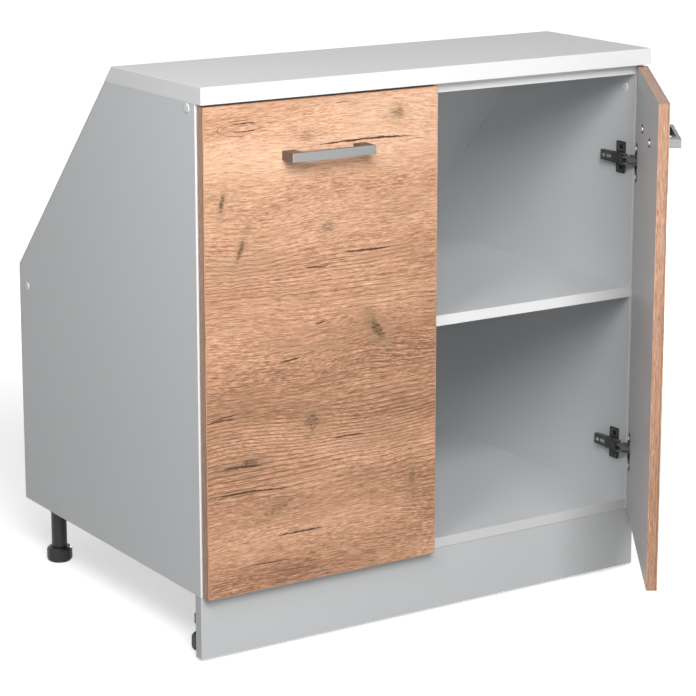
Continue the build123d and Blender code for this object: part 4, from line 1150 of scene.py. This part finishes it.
class CABINET_OT_hinges(bpy.types.Operator):
    """Finish the hinges and the screws of the doors, and add the small fittings on them"""

    bl_idname = "cabinet.hinges"
    bl_label = "Hinges"

    def execute(self, context):
        look = context.scene.cabinet_hardware
        finish = {"roughness": 0.4, "lift": 0.5, "metallic": 0.3}
        coat = moulded_material("hinge_coat", look.hinge_colour, **finish)
        plate = moulded_material("hinge_plate_coat", look.plate_colour, **finish)
        rim = moulded_material("hinge_rim_coat", look.rim_colour, **finish)
        steel = brushed_material("zinc_steel", look.steel_colour, roughness=0.3)
        dress(["hinge_arm_covers"], coat)
        dress(["hinge_plate_screws"], rim)
        dress(["hinge_adjusting_screws"], steel)
        add_hinge_hoods(coat)
        add_wing_rims(rim)
        add_hinge_cams(rim, steel)
        for side in SIDES:
            dress([f"{side}_inner_hinge_links", f"{side}_outer_hinge_links"], coat)
            dress([f"{side}_hinge_plates", f"{side}_hinge_arms"], plate)
            dress([f"{side}_hinge_arm_pins", f"{side}_hinge_cups"], rim)
            dress([f"{side}_hinge_cup_screws", f"{side}_handle_screws"], steel)
            add_cup_springs(side, rim)
            # Dark rings of painted shade round the handle screws
            add_screw_rings(side, rim)
            add_link_webs(side, coat)
        return {"FINISHED"}


class CABINET_OT_feet(bpy.types.Operator):
    """Finish the legs, the plinth clips and the feet, and add the feet's grips"""

    bl_idname = "cabinet.feet"
    bl_label = "Feet"

    def execute(self, context):
        look = context.scene.cabinet_hardware
        material = moulded_material("black_plastic", look.plastic_colour, roughness=0.42, lift=0.4)
        names = ["leg_sockets", "leg_tubes"] + [f"{foot}_foot" for foot in FEET]
        names += [f"{side}_plinth_clip" for side in SIDES]
        dress(names, material)
        for foot in FEET:
            add_foot_grips(foot, material, look.grip_ribs)
        return {"FINISHED"}


class CABINET_OT_fasteners(bpy.types.Operator):
    """Finish the screws, nails, dowels and caps"""

    bl_idname = "cabinet.fasteners"
    bl_label = "Fasteners"

    def execute(self, context):
        look = context.scene.cabinet_hardware
        steel = brushed_material("plated_screws", look.steel_colour, roughness=0.35)
        names = [f"{kind}_screws" for kind in ("assembly", "plinth_clip", "leg_socket", "worktop")]
        dress(names + ["back_panel_nails"], steel)
        dress(["wooden_dowels"], plain_wood_material("beech", look.dowel_colour))
        caps = moulded_material("white_caps", look.cap_colour, roughness=0.3, lift=0.05)
        dress(["screw_cover_caps", "joining_hole_caps"], caps)
        return {"FINISHED"}


class CABINET_OT_studio(bpy.types.Operator):
    """Set the floor, lamps, sky and camera"""

    bl_idname = "cabinet.studio"
    bl_label = "Studio"

    def execute(self, context):
        look = context.scene.cabinet_studio
        set_sky(context.scene, look.world_level)
        lay_floor()
        for name, place, width, setting in LAMPS:
            hang_lamp(context.scene, name, place, width, getattr(look, setting))
        set_camera(context.scene, look)
        context.scene.view_settings.view_transform = "Standard"
        return {"FINISHED"}


class CABINET_PT_panel(bpy.types.Panel):
    """Lists the steps that finish the cabinet, and its settings"""

    bl_label = "Cabinet"
    bl_idname = "CABINET_PT_panel"
    bl_space_type = "VIEW_3D"
    bl_region_type = "UI"
    bl_category = "Cabinet"

    def draw(self, context):
        for operator in OPERATORS:
            self.layout.operator(operator.bl_idname)
        for group in SETTINGS:
            settings = getattr(context.scene, group)
            box = self.layout.box()
            for name in settings.bl_rna.properties.keys():
                if name not in ("rna_type", "name"):
                    box.prop(settings, name)


SETTINGS = {
    "cabinet_boards": CabinetBoards,
    "cabinet_doors": CabinetDoors,
    "cabinet_hardware": CabinetHardware,
    "cabinet_studio": CabinetStudio,
}
OPERATORS = (
    CABINET_OT_boards,
    CABINET_OT_worktop,
    CABINET_OT_back,
    CABINET_OT_doors,
    CABINET_OT_handles,
    CABINET_OT_hinges,
    CABINET_OT_feet,
    CABINET_OT_fasteners,
    CABINET_OT_studio,
)
CLASSES = (*SETTINGS.values(), *OPERATORS, CABINET_PT_panel)


def register():
    """Registers the classes and the scene's settings."""
    for cls in CLASSES:
        bpy.utils.register_class(cls)
    for name, group in SETTINGS.items():
        setattr(bpy.types.Scene, name, PointerProperty(type=group))


def unregister():
    """Takes the settings and the classes away again."""
    for name in SETTINGS:
        delattr(bpy.types.Scene, name)
    for cls in reversed(CLASSES):
        bpy.utils.unregister_class(cls)


def main():
    """Finishes the cabinet step by step."""
    register()
    for operator in OPERATORS:
        getattr(bpy.ops.cabinet, operator.bl_idname.split(".")[1])()


if __name__ == "__main__":
    main()
